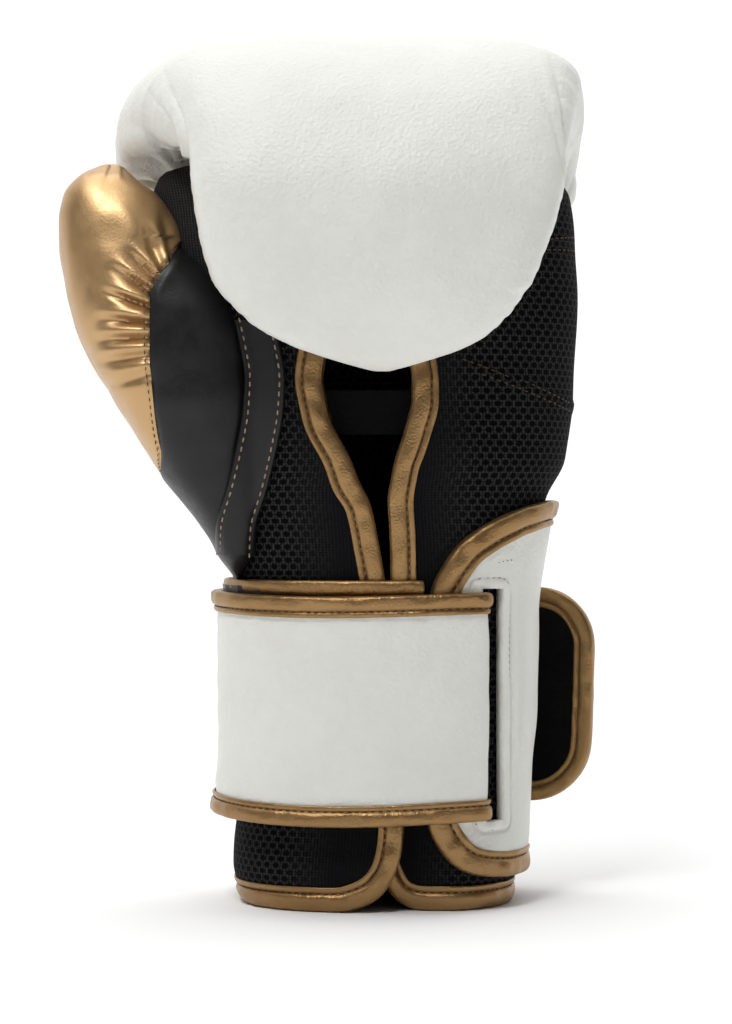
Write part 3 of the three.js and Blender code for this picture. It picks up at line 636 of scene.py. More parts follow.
WHITE = leather(
    "white_leather", (0.76, 0.76, 0.71), (0.80, 0.80, 0.755), 0.47, 0.0002, 0.0013,
    wrinkle=0.00016, coat=0.06,
)
GOLD = leather(
    "gold_leather", (0.49, 0.305, 0.14), (0.55, 0.35, 0.165), 0.40, 0.00003, 0.0008,
    metallic=0.8, wrinkle=0.00002, coat=0.25,
)
PIPING = leather(
    "gold_piping", (0.29, 0.168, 0.066), (0.35, 0.21, 0.087), 0.36, 0.00012, 0.0007,
    metallic=0.82, wrinkle=0.00005,
)
HOOK = leather(
    "hook_fabric", (0.002, 0.002, 0.002), (0.004, 0.004, 0.004), 0.85, 0.00015, 0.0008, specular=0.1,
)
BLACK = leather(
    "black_leather", (0.007, 0.0068, 0.007), (0.011, 0.0105, 0.011), 0.42, 0.00004, 0.0009,
    wrinkle=0.00006, specular=0.35,
)
AIR = air_mesh("air_mesh")
THREAD = plain_thread("thread", (0.22, 0.155, 0.09), (0.42, 0.32, 0.21))
# Dark thread. On the white side panel its dots are painted shade of the stitch holes, whose thread is
# white.
DARK_THREAD_AND_HOLE_SHADE = plain_thread("dark_thread_and_hole_shade", (0.035, 0.02, 0.01), (0.08, 0.05, 0.028))

dark_stitches_and_hole_shade, gold_stitches = Stitches(), Stitches()


# The mesh shell.
opening_left = curve(OPENING_ROWS[:, 0] * OPENING_TOP, OPENING_ROWS[:, 1] * OPENING_WIDTH)
opening_right = curve(OPENING_ROWS[:, 0] * OPENING_TOP, OPENING_ROWS[:, 2] * OPENING_WIDTH)
HIDDEN_EDGE = -3.5
SLIT_END = 214.0
SLIT_LEFT, SLIT_RIGHT = -5.2, -5.0
# The right flap's edge near the rim: height and side.
LOW_EDGE = np.array([
    [-2.0, 12.6], [0.0, 12.2], [2.5, 6.3], [7.8, 1.7], [15.0, -2.0], [25.0, HIDDEN_EDGE],
    [70.0, HIDDEN_EDGE],
])
low_edge = curve(LOW_EDGE[:, 0], LOW_EDGE[:, 1])


def drawn_in(edge, slit, z):
    """An edge of the opening, which runs on above it as a side of the slit."""
    return np.where(z > OPENING_TOP, slit + (edge(z) - slit) * smooth(z, SLIT_END, OPENING_TOP), edge(z))


def left_edge(z):
    return drawn_in(opening_left, SLIT_LEFT, z)


def right_edge(z):
    above = drawn_in(opening_right, SLIT_RIGHT, z)
    return above * smooth(z, 60, 95) + low_edge(z) * smooth(z, 95, 60)


def flap_push(x, z):
    """How far the right flap lies behind the left one."""
    return 6.6 * smooth(z, 98, 70) * smooth(x, 30, 5)


def shell_skin():
    z = np.concatenate([np.linspace(LAP, 205, 112), np.linspace(206.5, SHELL_HEIGHT - 0.3, 26)])[:, None]
    start = shell_u(right_edge(z) + LAP, z)
    end = shell_u(left_edge(z) - LAP, z)
    half = np.interp(z, HEIGHTS, HALF)
    span = end - start + 2 * half
    share = np.linspace(0, 1, 236)[None, :]
    u = start + share * span
    x_near = right_edge(z) + (u - start)
    push = np.where(u < half, flap_push(x_near, z), 0)
    outer = shell_at(u, z, -push)
    x, up = outer[..., 0], outer[..., 2]
    ridge = (up - 174.6 + 0.36 * (x - 45)) / 1.5
    band = np.exp(-(ridge**2)) * smooth(x, 24, 32) * (outer[..., 1] < 0)
    soft = noise(3, 26.0)(outer) * 0.35 + 0.7 * band
    outer = shell_at(u, z, soft - push)
    inner = shell_at(u, z, -SHELL_WALL - push)
    centre = outer[:-1, :-1]
    left, right, front, back = (side(centre[..., 2]) for side in THUMB)
    a, b = (right - left) / 2 - THUMB_WALL, (back - front) / 2 - THUMB_WALL
    reach = (
        np.abs((centre[..., 0] - (right + left) / 2) / a) ** THUMB_POWER
        + np.abs((centre[..., 1] - (back + front) / 2) / b) ** THUMB_POWER
    )
    in_thumb = (reach < 0.92) & (centre[..., 2] > 128) & (centre[..., 2] < 232)
    verts, faces, used = sheet_mesh(outer, inner, ~in_thumb)
    uv = np.stack(np.broadcast_arrays(np.where(u > half, u - 2 * half, u), z), -1).reshape(-1, 2)[used]
    return piece(object_of("palm_skin", verts, faces, AIR, uv), "air_mesh", "palm_shell")


palm_skin = shell_skin()


def solid_shell(lift):
    """The shell's outer form as a closed cutter."""
    z = np.concatenate([np.linspace(-6, 240, 100), np.linspace(242, SHELL_HEIGHT - 0.3, 14)])[:, None]
    angle = np.linspace(0, 2 * np.pi, 241)[None, :-1]
    grid = wall(SHELL, SHELL_POWER, np.clip(z, 0, SHELL_HEIGHT), angle, lift)
    grid[..., 2] = z
    grid[-1, :, 2] += lift
    verts, faces = tube_mesh(grid)
    return object_of("cutter", verts, faces, BLACK)


def cut_out(made, cutter):
    """Takes the cutter's form out of a piece."""
    change = made.modifiers.new("cut", "BOOLEAN")
    change.operation = "DIFFERENCE"
    change.solver = "MANIFOLD"
    change.object = cutter
    graph = bpy.context.evaluated_depsgraph_get()
    mesh = bpy.data.meshes.new_from_object(made.evaluated_get(graph))
    made.modifiers.clear()
    old, made.data = made.data, mesh
    bpy.data.meshes.remove(old)


cutter = solid_shell(GAP)


# The fist pad.
def unit_box(power, count, wide, deep):
    """Points of a rounded box of half sizes 1, evenly spaced on one of the given half sizes."""
    angle = np.linspace(0, 2 * np.pi, 4001)
    shape = np.stack([signed(np.cos(angle), 2 / power), signed(np.sin(angle), 2 / power)], 1)
    step = np.linalg.norm(np.diff(shape * [wide, deep], axis=0), axis=1)
    step *= 1 + 1.8 * smooth(np.abs(shape[1:, 0]), 0.7, 0.93)
    way = np.r_[0, np.cumsum(step)]
    at = np.linspace(0, way[-1], count + 1)[:-1]
    return np.stack([np.interp(at, way, shape[:, k]) for k in range(2)], 1)


def grid_normals(grid):
    """Outward unit normals of a grid of closed rings."""
    down = np.gradient(grid, axis=0)
    round_ = np.roll(grid, -1, 1) - np.roll(grid, 1, 1)
    normal = np.cross(round_, down)
    normal /= np.maximum(np.linalg.norm(normal, axis=-1, keepdims=True), 1e-9)
    out = grid - grid.mean(1, keepdims=True)
    return normal * np.where((normal * out).sum() < 0, -1.0, 1.0)


# Pleats gathered at the ends of the knuckle roll, seen from the front: the point they run together at,
# the angles between which they lie, their near and far reach, how many, how deep, and the side they face.
PAD_FANS = (
    (-64.0, 233.0, 80.0, 150.0, 9.0, 60.0, 6, 3.0, -1),
    (58.0, 230.0, 50.0, 98.0, 10.0, 58.0, 4, 2.8, 1),
)


# The roll's left shoulder falls away beyond this x, in mm a square mm.
PAD_SHOULDER_FROM, PAD_SHOULDER = -58.0, 0.0125


def fan_folds(points, normal, fan):
    x0, z0, low_turn, high_turn, near, reach, count, depth, side = fan
    dx, dz = points[..., 0] - x0, points[..., 2] - z0
    distance = np.hypot(dx, dz)
    turn = np.degrees(np.arctan2(dz, dx)) + 5 * np.sin(distance / 14 + 1.0)
    share = (turn - low_turn) / (high_turn - low_turn)
    uneven = share + 0.035 * np.sin(11 * share + 2) + 0.02 * np.sin(23 * share)
    groove = np.abs(np.sin(np.pi * count * uneven)) ** 0.8
    strong = 0.7 + 0.3 * np.sin(7.3 * share + 1.0)
    there = smooth(share, -0.02, 0.1) * smooth(share, 1.05, 0.9)
    along = smooth(distance, near * 0.4, near * 1.4) * smooth(distance, reach, near * 1.6)
    facing = smooth(side * normal[..., 0] - 0.6 * normal[..., 1], 0.1, 0.5)
    facing = facing * smooth(points[..., 1], 45, 15)
    return depth * strong * (1 - groove) * there * along * facing


def pad_skin():
    rows = len(PAD_ROWS)
    along_rows = np.linspace(0, 1, rows)
    reach = np.where(PAD_ROWS[:, 0] < 0, LOBE_REACH, SLAB_REACH)
    deep = curve(along_rows, PAD_ROWS[:, 0] * reach)
    up = curve(along_rows, PAD_ROWS[:, 1] * PAD_TOP)
    left = curve(along_rows, PAD_ROWS[:, 2] * PAD_WIDTH)
    right = curve(along_rows, PAD_ROWS[:, 3] * PAD_WIDTH)
    thick = curve(along_rows, PAD_ROWS[:, 4] * CROWN)
    spread = np.linspace(0, 1, 2001)
    density = 1 + 2.2 * smooth(spread, 0.36, 0.42) * smooth(spread, 0.74, 0.66)
    share = np.cumsum(density)
    t = np.interp(np.linspace(share[0], share[-1], 350), share, spread)
    smoothing = np.ones(9) / 9

    def calm(values):
        return np.convolve(np.pad(values, 4, mode="edge"), smoothing, mode="valid")

    y, z = calm(deep(t)), calm(up(t))
    tangent = np.stack([np.gradient(y), np.gradient(z)], 1)
    tangent /= np.linalg.norm(tangent, axis=1, keepdims=True)
    outward = np.stack([tangent[:, 1], -tangent[:, 0]], 1)
    shape = unit_box(PAD_POWER, 276, 70.0, 20.0)
    a = calm((right(t) - left(t)) / 2)[:, None]
    middle = calm((right(t) + left(t)) / 2)[:, None]
    b = calm(thick(t) / 2)[:, None]
    cross, out = shape[None, :, 0], shape[None, :, 1]
    tt = t[:, None]
    x = middle + a * cross
    depth_in = b * out - b
    grid = np.stack([
        x,
        y[:, None] + outward[:, :1] * depth_in,
        z[:, None] + outward[:, 1:] * depth_in,
    ], -1)
    normal = grid_normals(grid)
    bulge = noise(11, 60.0)(grid) * 0.6 + noise(12, 20.0)(grid) * 0.12
    fullness = np.clip(b / 12, 0, 1)
    push = bulge * fullness
    for fan in PAD_FANS:
        push = push - fan_folds(grid, normal, fan)
    rim = np.abs(np.abs(cross) - 0.985) < 0.5
    flat = np.stack(np.broadcast_arrays(tt * 420, np.zeros_like(tt), np.sign(cross) * 50.0 + 0 * tt), -1)
    tucks = noise(13, 6.0)(flat) * np.exp(-(((np.abs(cross) - 0.97) / 0.07) ** 2)) * rim
    push = push + 0.2 * tucks * fullness * (tt > 0.5)
    grid = grid + normal * push[..., None]
    slope = PAD_SHOULDER * np.maximum(PAD_SHOULDER_FROM - grid[..., 0], 0) ** 2
    grid[..., 2] -= slope * smooth(grid[..., 2], 235, 262)
    verts, faces = tube_mesh(grid)
    made = object_of("pad_skin", verts, faces, WHITE)
    cut_out(made, cutter)
    made.data.set_sharp_from_angle(angle=math.radians(50))
    return piece(made, "white_leather", "fist_pad")


pad = pad_skin()


# The thumb.
seam_side = curve(THUMB_SEAM[:, 0] * THUMB_TOP, THUMB_SEAM[:, 1] * THUMB_REACH)
SEAM_LOW, SEAM_HIGH = 139.0, 229.0
# Folds in the gold leather beside the seam, in mm: from the seam, to the far end, width and depth.
THUMB_FOLDS = (
    (-71.8, 206.0, -84.0, 217.5, 1.5, 1.7),
    (-72.4, 201.8, -88.5, 212.0, 1.5, 2.0),
    (-73.2, 197.6, -91.0, 204.0, 1.5, 2.0),
    (-74.2, 193.4, -92.5, 195.4, 1.5, 1.8),
    (-75.0, 188.8, -94.0, 188.6, 1.6, 1.5),
    (-75.3, 183.3, -95.0, 181.4, 1.7, 1.2),
    (-75.6, 177.3, -92.0, 173.5, 1.8, 0.8),
    (-70.8, 209.5, -78.5, 226.0, 1.6, 1.6),
    (-68.9, 214.0, -73.5, 231.0, 1.6, 1.2),
    (-90.5, 250.0, -91.5, 242.0, 1.0, 0.7),
    (-87.0, 250.0, -86.0, 243.0, 0.9, 0.7),
    (-95.5, 250.0, -98.0, 243.5, 1.0, 0.5),
)


def crease(x, z, folds):
    """How deep grooves along short lines are at points."""
    total = np.zeros(np.broadcast(x, z).shape)
    for x0, z0, x1, z1, width, depth in folds:
        length = math.hypot(x1 - x0, z1 - z0)
        dx, dz = (x1 - x0) / length, (z1 - z0) / length
        along = ((x - x0) * dx + (z - z0) * dz) / length
        off = ((x - x0) * dz - (z - z0) * dx) / width
        fade = smooth(along, -0.12, 0.06) * smooth(along, 1.2, 0.5)
        total += 1.35 * depth * fade * (np.exp(-(off**2)) - 0.45 * np.exp(-((off - 1.7) ** 2)))
    return total


def seam_turn(z):
    """The seam's angle at the thumb's back, and its mirror at the front."""
    left, right = THUMB[0](z), THUMB[1](z)
    share = np.clip((seam_side(z) - (right + left) / 2) / ((right - left) / 2), -1, 1)
    cosine = signed(share, THUMB_POWER / 2)
    cosine = -1 + (cosine + 1) * smooth(z, SEAM_LOW, SEAM_LOW + 14)
    cosine = cosine + (1 - cosine) * smooth(z, SEAM_HIGH - 7, SEAM_HIGH)
    return np.arccos(np.clip(cosine, -1, 1))


def thumb_part(name, material, slot, node, gold):
    if gold:
        rounded = THUMB_TOP - 9.9 * np.cos(np.linspace(0.1, np.pi / 2, 30))
        z = np.concatenate([np.linspace(SEAM_LOW, 238, 130), rounded])
    else:
        z = np.linspace(106, SEAM_HIGH, 130)
    z = z[:, None]
    turn = seam_turn(z)
    share = np.linspace(0, 1, 170)[None, :]
    first, last = (turn, 2 * np.pi - turn) if gold else (2 * np.pi - turn, 2 * np.pi + turn)
    angle = first + share * (last - first)
    plain = wall(THUMB, THUMB_POWER, z, angle, 0.0)
    way = np.zeros(plain.shape[:2])
    way[:, 1:] = np.cumsum(np.linalg.norm(np.diff(plain[..., :2], axis=1), axis=-1), axis=1)
    off = np.minimum(way, way[:, -1:] - way)
    closed = (z > SEAM_HIGH - 0.5) if gold else (z < SEAM_LOW + 0.5)
    seam = np.where(closed, 0.0, 1.0) * np.ones_like(off)
    lift = -0.9 * seam * np.exp(-((off / 1.5) ** 2))
    front = plain[..., 1] < -15
    if gold:
        lift = lift - crease(plain[..., 0], plain[..., 2], THUMB_FOLDS) * front
        lift = lift + 0.25 * noise(21, 14.0)(plain) + 0.5 * noise(22, 40.0)(plain)
    else:
        lift = lift + 0.3 * noise(23, 18.0)(plain)
        lift = lift - 5.0 * smooth(z, 119, 108)
    outer = wall(THUMB, THUMB_POWER, z, angle, lift)
    inner = wall(THUMB, THUMB_POWER, z, angle, -THUMB_WALL + 1.0)
    if gold:
        inner[..., 2] = np.minimum(inner[..., 2], THUMB_TOP - 4)
        turned = np.linspace(0, np.pi / 2, 9)[1:, None, None]
        centre = outer[-1].mean(0)
        cap = centre + (outer[-1] - centre)[None] * np.maximum(np.cos(turned), 0.03)
        cap[..., 2] += 1.0 * np.sin(turned[..., 0]) ** 2
        outer = np.concatenate([outer, cap])
        centre = inner[-1].mean(0)
        lid = centre + (inner[-1] - centre)[None] * np.maximum(np.cos(turned), 0.03)
        inner = np.concatenate([inner, lid])
    verts, faces, _ = sheet_mesh(outer, inner)
    made = object_of(name, verts, faces, material)
    cut_out(made, cutter)
    made.data.set_sharp_from_angle(angle=math.radians(60))
    piece(made, slot, node)


thumb_part("thumb_gold", GOLD, "gold_leather", "thumb_outer", True)
thumb_part("thumb_black", BLACK, "black_leather", "thumb_inner", False)
seam_z = np.linspace(SEAM_LOW + 3, SEAM_HIGH - 1, 160)
seam_angle = 2 * np.pi - seam_turn(seam_z) - 0.045
line = wall(THUMB, THUMB_POWER, seam_z, seam_angle, -0.35)
out = wall(THUMB, THUMB_POWER, seam_z, seam_angle, 0.65) - line
dark_stitches_and_hole_shade.row(line, out, 2.6, 1.3, 0.22)


# The strip beside the thumb.
def strip_at(x, z, lift):
    x, z, lift = np.broadcast_arrays(x, z, lift)
    shell = front_of(SHELL, SHELL_POWER, x, z, GAP)
    thumb = front_of(THUMB, THUMB_POWER, x, z, GAP)
    blend = 2.5
    y = -blend * np.log(np.exp(-shell / blend) + np.exp(-thumb / blend)) - GAP
    return np.stack([x, y - lift, z], -1)


# The seams' distance from the strip's middle, as a share of its width.
STRIP_SEAM = 0.36
strip_side = curve(STRIP_ROWS[:, 0] * OPENING_TOP, STRIP_ROWS[:, 1] * CUFF_WIDTH)
strip_z = np.linspace(STRIP_ROWS[0, 0], STRIP_ROWS[-1, 0], 150)[:, None] * OPENING_TOP
strip_share = np.linspace(-0.5, 0.5, 36)[None, :]
strip_x = strip_side(strip_z) + strip_share * STRIP_WIDTH
strip_groove = np.exp(-(((np.abs(strip_share) - STRIP_SEAM) / 0.05) ** 2))
strip_lift = 1.8 * (1 - np.abs(2 * strip_share) ** 7) ** 0.5 - 0.35 * strip_groove
strip_outer = strip_at(strip_x, strip_z, strip_lift + 0.05)
verts, faces, _ = sheet_mesh(strip_outer, strip_at(strip_x, strip_z, 0.0))
piece(object_of("thumb_band", verts, faces, BLACK), "black_leather", "thumb_strip")
for share in (-STRIP_SEAM, STRIP_SEAM):
    x = strip_side(strip_z[:, 0]) + share * STRIP_WIDTH
    line = strip_at(x, strip_z[:, 0], 1.55)
    gold_stitches.row(line, strip_at(x, strip_z[:, 0], 2.55) - line, 3.1, 1.7, 0.3)


# Bindings of the opening and the rim.
def pushed_shell(u, z, lift):
    x_near = shell_at(u, z, 0.0)[..., 0]
    front = (np.abs(u) < 60) & (x_near > -12)
    return shell_at(u, z, lift - np.where(front, flap_push(x_near, z), 0))


def edge_path(side, z_list):
    z = np.asarray(z_list, float)
    return np.stack([shell_u(side(z), z), z], 1)


RIM_JOINT = 66.0


def rim_shell(u, z, lift):
    """The shell's surface with heights kept in line all the way round the rim."""
    grown = np.interp(z, HEIGHTS, HALF) / HALF[0] - 1
    return shell_at(u * (1 + grown * smooth(-u, 0.3 * HALF[0], 1.6 * HALF[0])), z, lift)


def even_path(path, rounds):
    return resample(soften(path, rounds), PATH_STEP)


def piping(name, surface, path, side, profile, seed, *nodes, base=0.0):
    """A gold binding folded over an edge."""
    verts, faces = tube_mesh(binding_grid(surface, path, side, profile, seed, base))
    piece(object_of(name, verts, faces, PIPING), "gold_leather", *nodes)


edge_profile = fold_profile(EDGE_WIDTH, 0.0, SHELL_WALL, 1.6, 1.0)
down = edge_path(left_edge, np.linspace(190, 3.0, 220))
rim_left = np.array([[u, 0.0] for u in np.linspace(shell_u(-12.0, 0.0), RIM_JOINT - 2 * HALF[0], 200)])
left_path = even_path(resample(np.concatenate([down, rim_left]), 1.0), 12)
piping("edge_piping", rim_shell, left_path, -1, edge_profile, 31, "edge_binding")

right_rim = np.array([[u, 0.0] for u in np.linspace(RIM_JOINT - 0.4, shell_u(12.6, 0.0), 60)])
right_up = edge_path(right_edge, np.linspace(1.0, 62, 70))
right_path = even_path(resample(np.concatenate([right_rim, right_up]), 1.0), 12)
piping("flap_piping", pushed_shell, right_path, -1, edge_profile, 32)

palm_path = even_path(edge_path(right_edge, np.linspace(190, 66, 130)), 4)
piping("palm_piping", pushed_shell, palm_path, 1, edge_profile, 33, "palm_binding")

# The band under the strap.
under_top = STRAP_TOP + 4.0
under_profile = fold_profile(STRAP_EDGE_WIDTH, 0.65, 0.65, 1.1, 0.3)
under_end = float(shell_u(PANEL_FRONT - 1.5, under_top))
under_us = np.linspace(under_end, -(np.interp(under_top, HEIGHTS, HALF) + under_end), 260)
under_path = np.stack([under_us, np.full_like(under_us, under_top)], 1)
piping("under_piping", shell_at, under_path, 1, under_profile, 34, "under_strap_binding", base=2.6)


# The side panel.
panel_front = curve(PANEL_ROWS[:, 0], PANEL_ROWS[:, 1] * CUFF_WIDTH + PANEL_FRONT)


def panel_loop():
    share = np.linspace(0, 1, 160)
    z = PANEL_BOTTOM + share * PANEL_HEIGHT
    x = panel_front(share)
    right = SHELL[1](z)
    keep = x < right * 0.995
    front = np.stack([shell_u(x[keep], z[keep]), z[keep]], 1)
    half = np.interp(front[:, 1], HEIGHTS, HALF)
    back = np.stack([half - front[:, 0], front[:, 1]], 1)[::-1]
    loop = np.concatenate([front, back, front[:1]])
    return resample(loop, PATH_STEP)


def smooth_loop(loop, rounds):
    body = loop[:-1].copy()
    for _ in range(rounds):
        body = (np.roll(body, 1, 0) + 2 * body + np.roll(body, -1, 0)) / 4
    return np.concatenate([body, body[:1]])


loop = smooth_loop(panel_loop(), 14)
panel_profile = fold_profile(PANEL_EDGE_WIDTH, PANEL_THICK / 2, PANEL_THICK / 2, 1.5, 0.7)
grid = binding_grid(shell_at, loop, -1, panel_profile, 35, PANEL_IN + PANEL_THICK / 2)[:-1]
index = np.arange(grid.shape[0] * grid.shape[1]).reshape(grid.shape[:2])
index = np.concatenate([index, index[:1]])
index = np.concatenate([index, index[:, :1]], 1)
piece(
    object_of("panel_piping", grid.reshape(-1, 3), quads(index).reshape(-1, 4).tolist(), PIPING),
    "gold_leather", "side_panel_binding",
)


# The slot's rolled rim stands over its edge, with a seam round it.
SLOT_RIM = 2.3
SLOT_SEAM = 3.5
SLOT_LOW, SLOT_HIGH = STRAP_BOTTOM - 0.6, STRAP_TOP + 1.2


NEAR = 0.01


def whole_quads(inside):
    """The quads of a grid whose corners are all inside."""
    return inside[:-1, :-1] & inside[1:, 1:] & inside[:-1, 1:] & inside[1:, :-1]


def panel_skin():
    top = PANEL_BOTTOM + PANEL_HEIGHT
    z = np.linspace(PANEL_BOTTOM, top, 230)
    z[np.argmin(np.abs(z - SLOT_LOW))] = SLOT_LOW
    z[np.argmin(np.abs(z - SLOT_HIGH))] = SLOT_HIGH
    z = z[:, None]
    edge = shell_u(np.full_like(z, SLOT_EDGE), z)
    offs = np.concatenate([
        np.linspace(-34, -SLOT_WIDTH, 40), np.linspace(-SLOT_WIDTH, -SLOT_RIM, 8)[1:],
        np.linspace(-SLOT_RIM, 10, 40)[1:], np.linspace(10, 172, 120)[1:],
    ])[None, :]
    u = edge + offs
    half = np.interp(z, HEIGHTS, HALF)
    front_u = shell_u(panel_front((z - PANEL_BOTTOM) / PANEL_HEIGHT), z)
    across = (u > front_u + LAP) & (u < half - front_u - LAP)
    inside = across & (z > PANEL_BOTTOM + LAP) & (z < top - LAP)
    in_slot = (offs > -SLOT_WIDTH - NEAR) & (offs < NEAR - SLOT_RIM)
    in_slot = in_slot & (z > SLOT_LOW - NEAR) & (z < SLOT_HIGH + NEAR)
    keep = whole_quads(inside) & ~whole_quads(in_slot)
    flat = shell_at(u, z, PANEL_IN)
    lift = PANEL_IN + PANEL_THICK + 0.3 * noise(41, 24.0)(flat)
    away = np.hypot(
        np.maximum(np.maximum(offs + SLOT_RIM, -SLOT_WIDTH - offs), 0),
        np.maximum(np.maximum(z - SLOT_HIGH, SLOT_LOW - z), 0),
    )
    roll = 1.1 * np.sqrt(np.clip(1 - ((away - 1.4) / 1.6) ** 2, 0, 1))
    lift = lift + roll - 0.55 * np.exp(-(((away - SLOT_SEAM) / 0.6) ** 2))
    lift = lift - 0.8 * np.exp(-(((offs - 6.5) / 2.2) ** 2)) * smooth(z, 44, 60) * smooth(z, 128, 108)
    verts, faces, _ = sheet_mesh(shell_at(u, z, lift), shell_at(u, z, PANEL_IN), keep)
    made = piece(object_of("panel_skin", verts, faces, WHITE), "white_leather", "side_panel")


panel_skin()


# The wrist strap.
STRAP_STEP = 0.5


def strap_table():
    """The strap's way round the cuff, seen from above, by height and by distance from the slot."""
    heights = np.arange(STRAP_BOTTOM - 1, STRAP_TOP + 2)
    leave = math.radians(-300)
    turn_in = 5.4
    ways = []
    for height in heights:
        side = SLOT_EDGE - SLOT_WIDTH * 0.26
        a = (SHELL[1](height) - SHELL[0](height)) / 2 + STRAP_MIDDLE
        middle = (SHELL[1](height) + SHELL[0](height)) / 2
        start = -math.acos(((side - middle) / a) ** (SHELL_POWER / 2))
        angle = np.linspace(start, leave, 900)
        flat = wall(SHELL, SHELL_POWER, height, angle, STRAP_MIDDLE)[:, :2]
        way = np.r_[0, np.cumsum(np.linalg.norm(np.diff(flat, axis=0), axis=1))]
        s = np.clip(way, 0, turn_in)
        drop = turn_in - np.sqrt(turn_in**2 - (turn_in - s) ** 2)
        flat = wall(SHELL, SHELL_POWER, height, angle, STRAP_MIDDLE - drop)[:, :2]
        heading = flat[-1] - flat[-2]
        heading /= np.linalg.norm(heading)
        inward = np.array([heading[1], -heading[0]])
        share = np.linspace(0, 1, 101)[1:, None]
        tab = flat[-1] + heading * share * STRAP_TAB + inward * 1.2 * share**2
        ways.append(np.concatenate([flat, tab]))
    ways = np.array(ways)
    middle = ways[len(ways) // 2]
    length = np.r_[0, np.cumsum(np.linalg.norm(np.diff(middle, axis=0), axis=1))]
    at = np.arange(0, length[-1], STRAP_STEP)
    at = np.r_[at, length[-1]]
    even = np.array([[np.interp(at, length, way[:, k]) for k in range(2)] for way in ways])
    return heights, np.moveaxis(even, 1, 2), length[-1]


STRAP_HEIGHTS, STRAP_TABLE, STRAP_LENGTH = strap_table()
_along = np.gradient(STRAP_TABLE, axis=1)
_along /= np.linalg.norm(_along, axis=2, keepdims=True)
STRAP_OUT = np.stack([-_along[..., 1], _along[..., 0]], -1)
if (STRAP_OUT[0, 100] * STRAP_TABLE[0, 100]).sum() < 0:
    STRAP_OUT = -STRAP_OUT


# The strap sags a little between the slot and the glove's left side.
STRAP_FRONT, STRAP_SAG_LOW, STRAP_SAG_HIGH = 118.0, 1.6, 1.2


def strap_at(w, h, n):
    w, h, n = np.broadcast_arrays(np.asarray(w, float), np.asarray(h, float), np.asarray(n, float))
    row = h - STRAP_HEIGHTS[0]
    column = w / STRAP_STEP
    x = look(STRAP_TABLE[..., 0], row, column) + n * look(STRAP_OUT[..., 0], row, column)
    y = look(STRAP_TABLE[..., 1], row, column) + n * look(STRAP_OUT[..., 1], row, column)
    sag = STRAP_SAG_LOW + (STRAP_SAG_HIGH - STRAP_SAG_LOW) * (h - STRAP_BOTTOM) / STRAP_HEIGHT
    return np.stack([x, y, h - sag * np.sin(np.pi * np.clip(w / STRAP_FRONT, 0, 1)) ** 2], -1)


def strap_drop(w, inset):
    """How far the rounded free end takes the strap's edges in."""
    radius = STRAP_RADIUS - inset
    left = np.clip(STRAP_LENGTH - inset - w, 0, radius)
    return radius - np.sqrt(np.clip(radius**2 - (radius - left) ** 2, 0, None))


def strap_layer(name, low_n, high_n, material, slot, seed, nodes=()):
    end = STRAP_LENGTH - LAP - 23 * np.cos(np.linspace(0, np.pi / 2, 30)[1:])
    w = np.concatenate([np.linspace(0, STRAP_LENGTH - 25, 250), end])[:, None]
    share = np.linspace(0, 1, 60)[None, :]
    drop = strap_drop(w, LAP)
    h = STRAP_BOTTOM + LAP + drop + share * (STRAP_HEIGHT - 2 * LAP - 2 * drop)
    flat = np.stack(np.broadcast_arrays(w, h, np.zeros_like(w * h)), -1)
    wave = 0.22 * noise(seed, 30.0)(flat) + 0.08 * noise(seed + 1, 9.0)(flat)
    edge = np.minimum(share, 1 - share) * (STRAP_HEIGHT - 2 * LAP)
    clear = smooth(edge, 4.8, 8.0)
    wave = wave * clear - 0.45 * (1 - clear)
    outer = strap_at(w, h, high_n + wave * (high_n > 0))
    verts, faces, _ = sheet_mesh(outer, strap_at(w, h, low_n + np.zeros_like(wave)))
    made = piece(object_of(name, verts, faces, material), slot, *nodes)


strap_layer("strap_face", 0.05, STRAP_HALF, WHITE, "white_leather", 51, ("wrist_strap",))
strap_layer("strap_lining", -STRAP_HALF, 0.0, HOOK, "black_leather", 55)
corner = np.linspace(0, np.pi / 2, 30)
free = STRAP_LENGTH - STRAP_RADIUS
strap_path = np.concatenate([
    np.stack([np.linspace(0, free, 300), np.full(300, STRAP_BOTTOM)], 1),
    np.stack([free + STRAP_RADIUS * np.sin(corner), STRAP_BOTTOM + STRAP_RADIUS * (1 - np.cos(corner))], 1),
    np.stack([free + STRAP_RADIUS * np.cos(corner), STRAP_TOP - STRAP_RADIUS * (1 - np.sin(corner))], 1),
    np.stack([np.linspace(free, 0, 300), np.full(300, STRAP_TOP)], 1),
])
strap_path = resample(strap_path, PATH_STEP)
strap_profile = fold_profile(STRAP_EDGE_WIDTH, STRAP_HALF, STRAP_HALF, 1.2, 1.2)
piping("strap_piping", strap_at, strap_path, 1, strap_profile, 36, "wrist_strap_binding")

# Stitches.
GROOVE = 0.735


def groove_stitches(surface, path, side, width, lift):
    moved = path + sideways(path, side) * width * GROOVE
    dark_stitches_and_hole_shade.on(surface, moved, lift, 2.6, 1.5, 0.24)


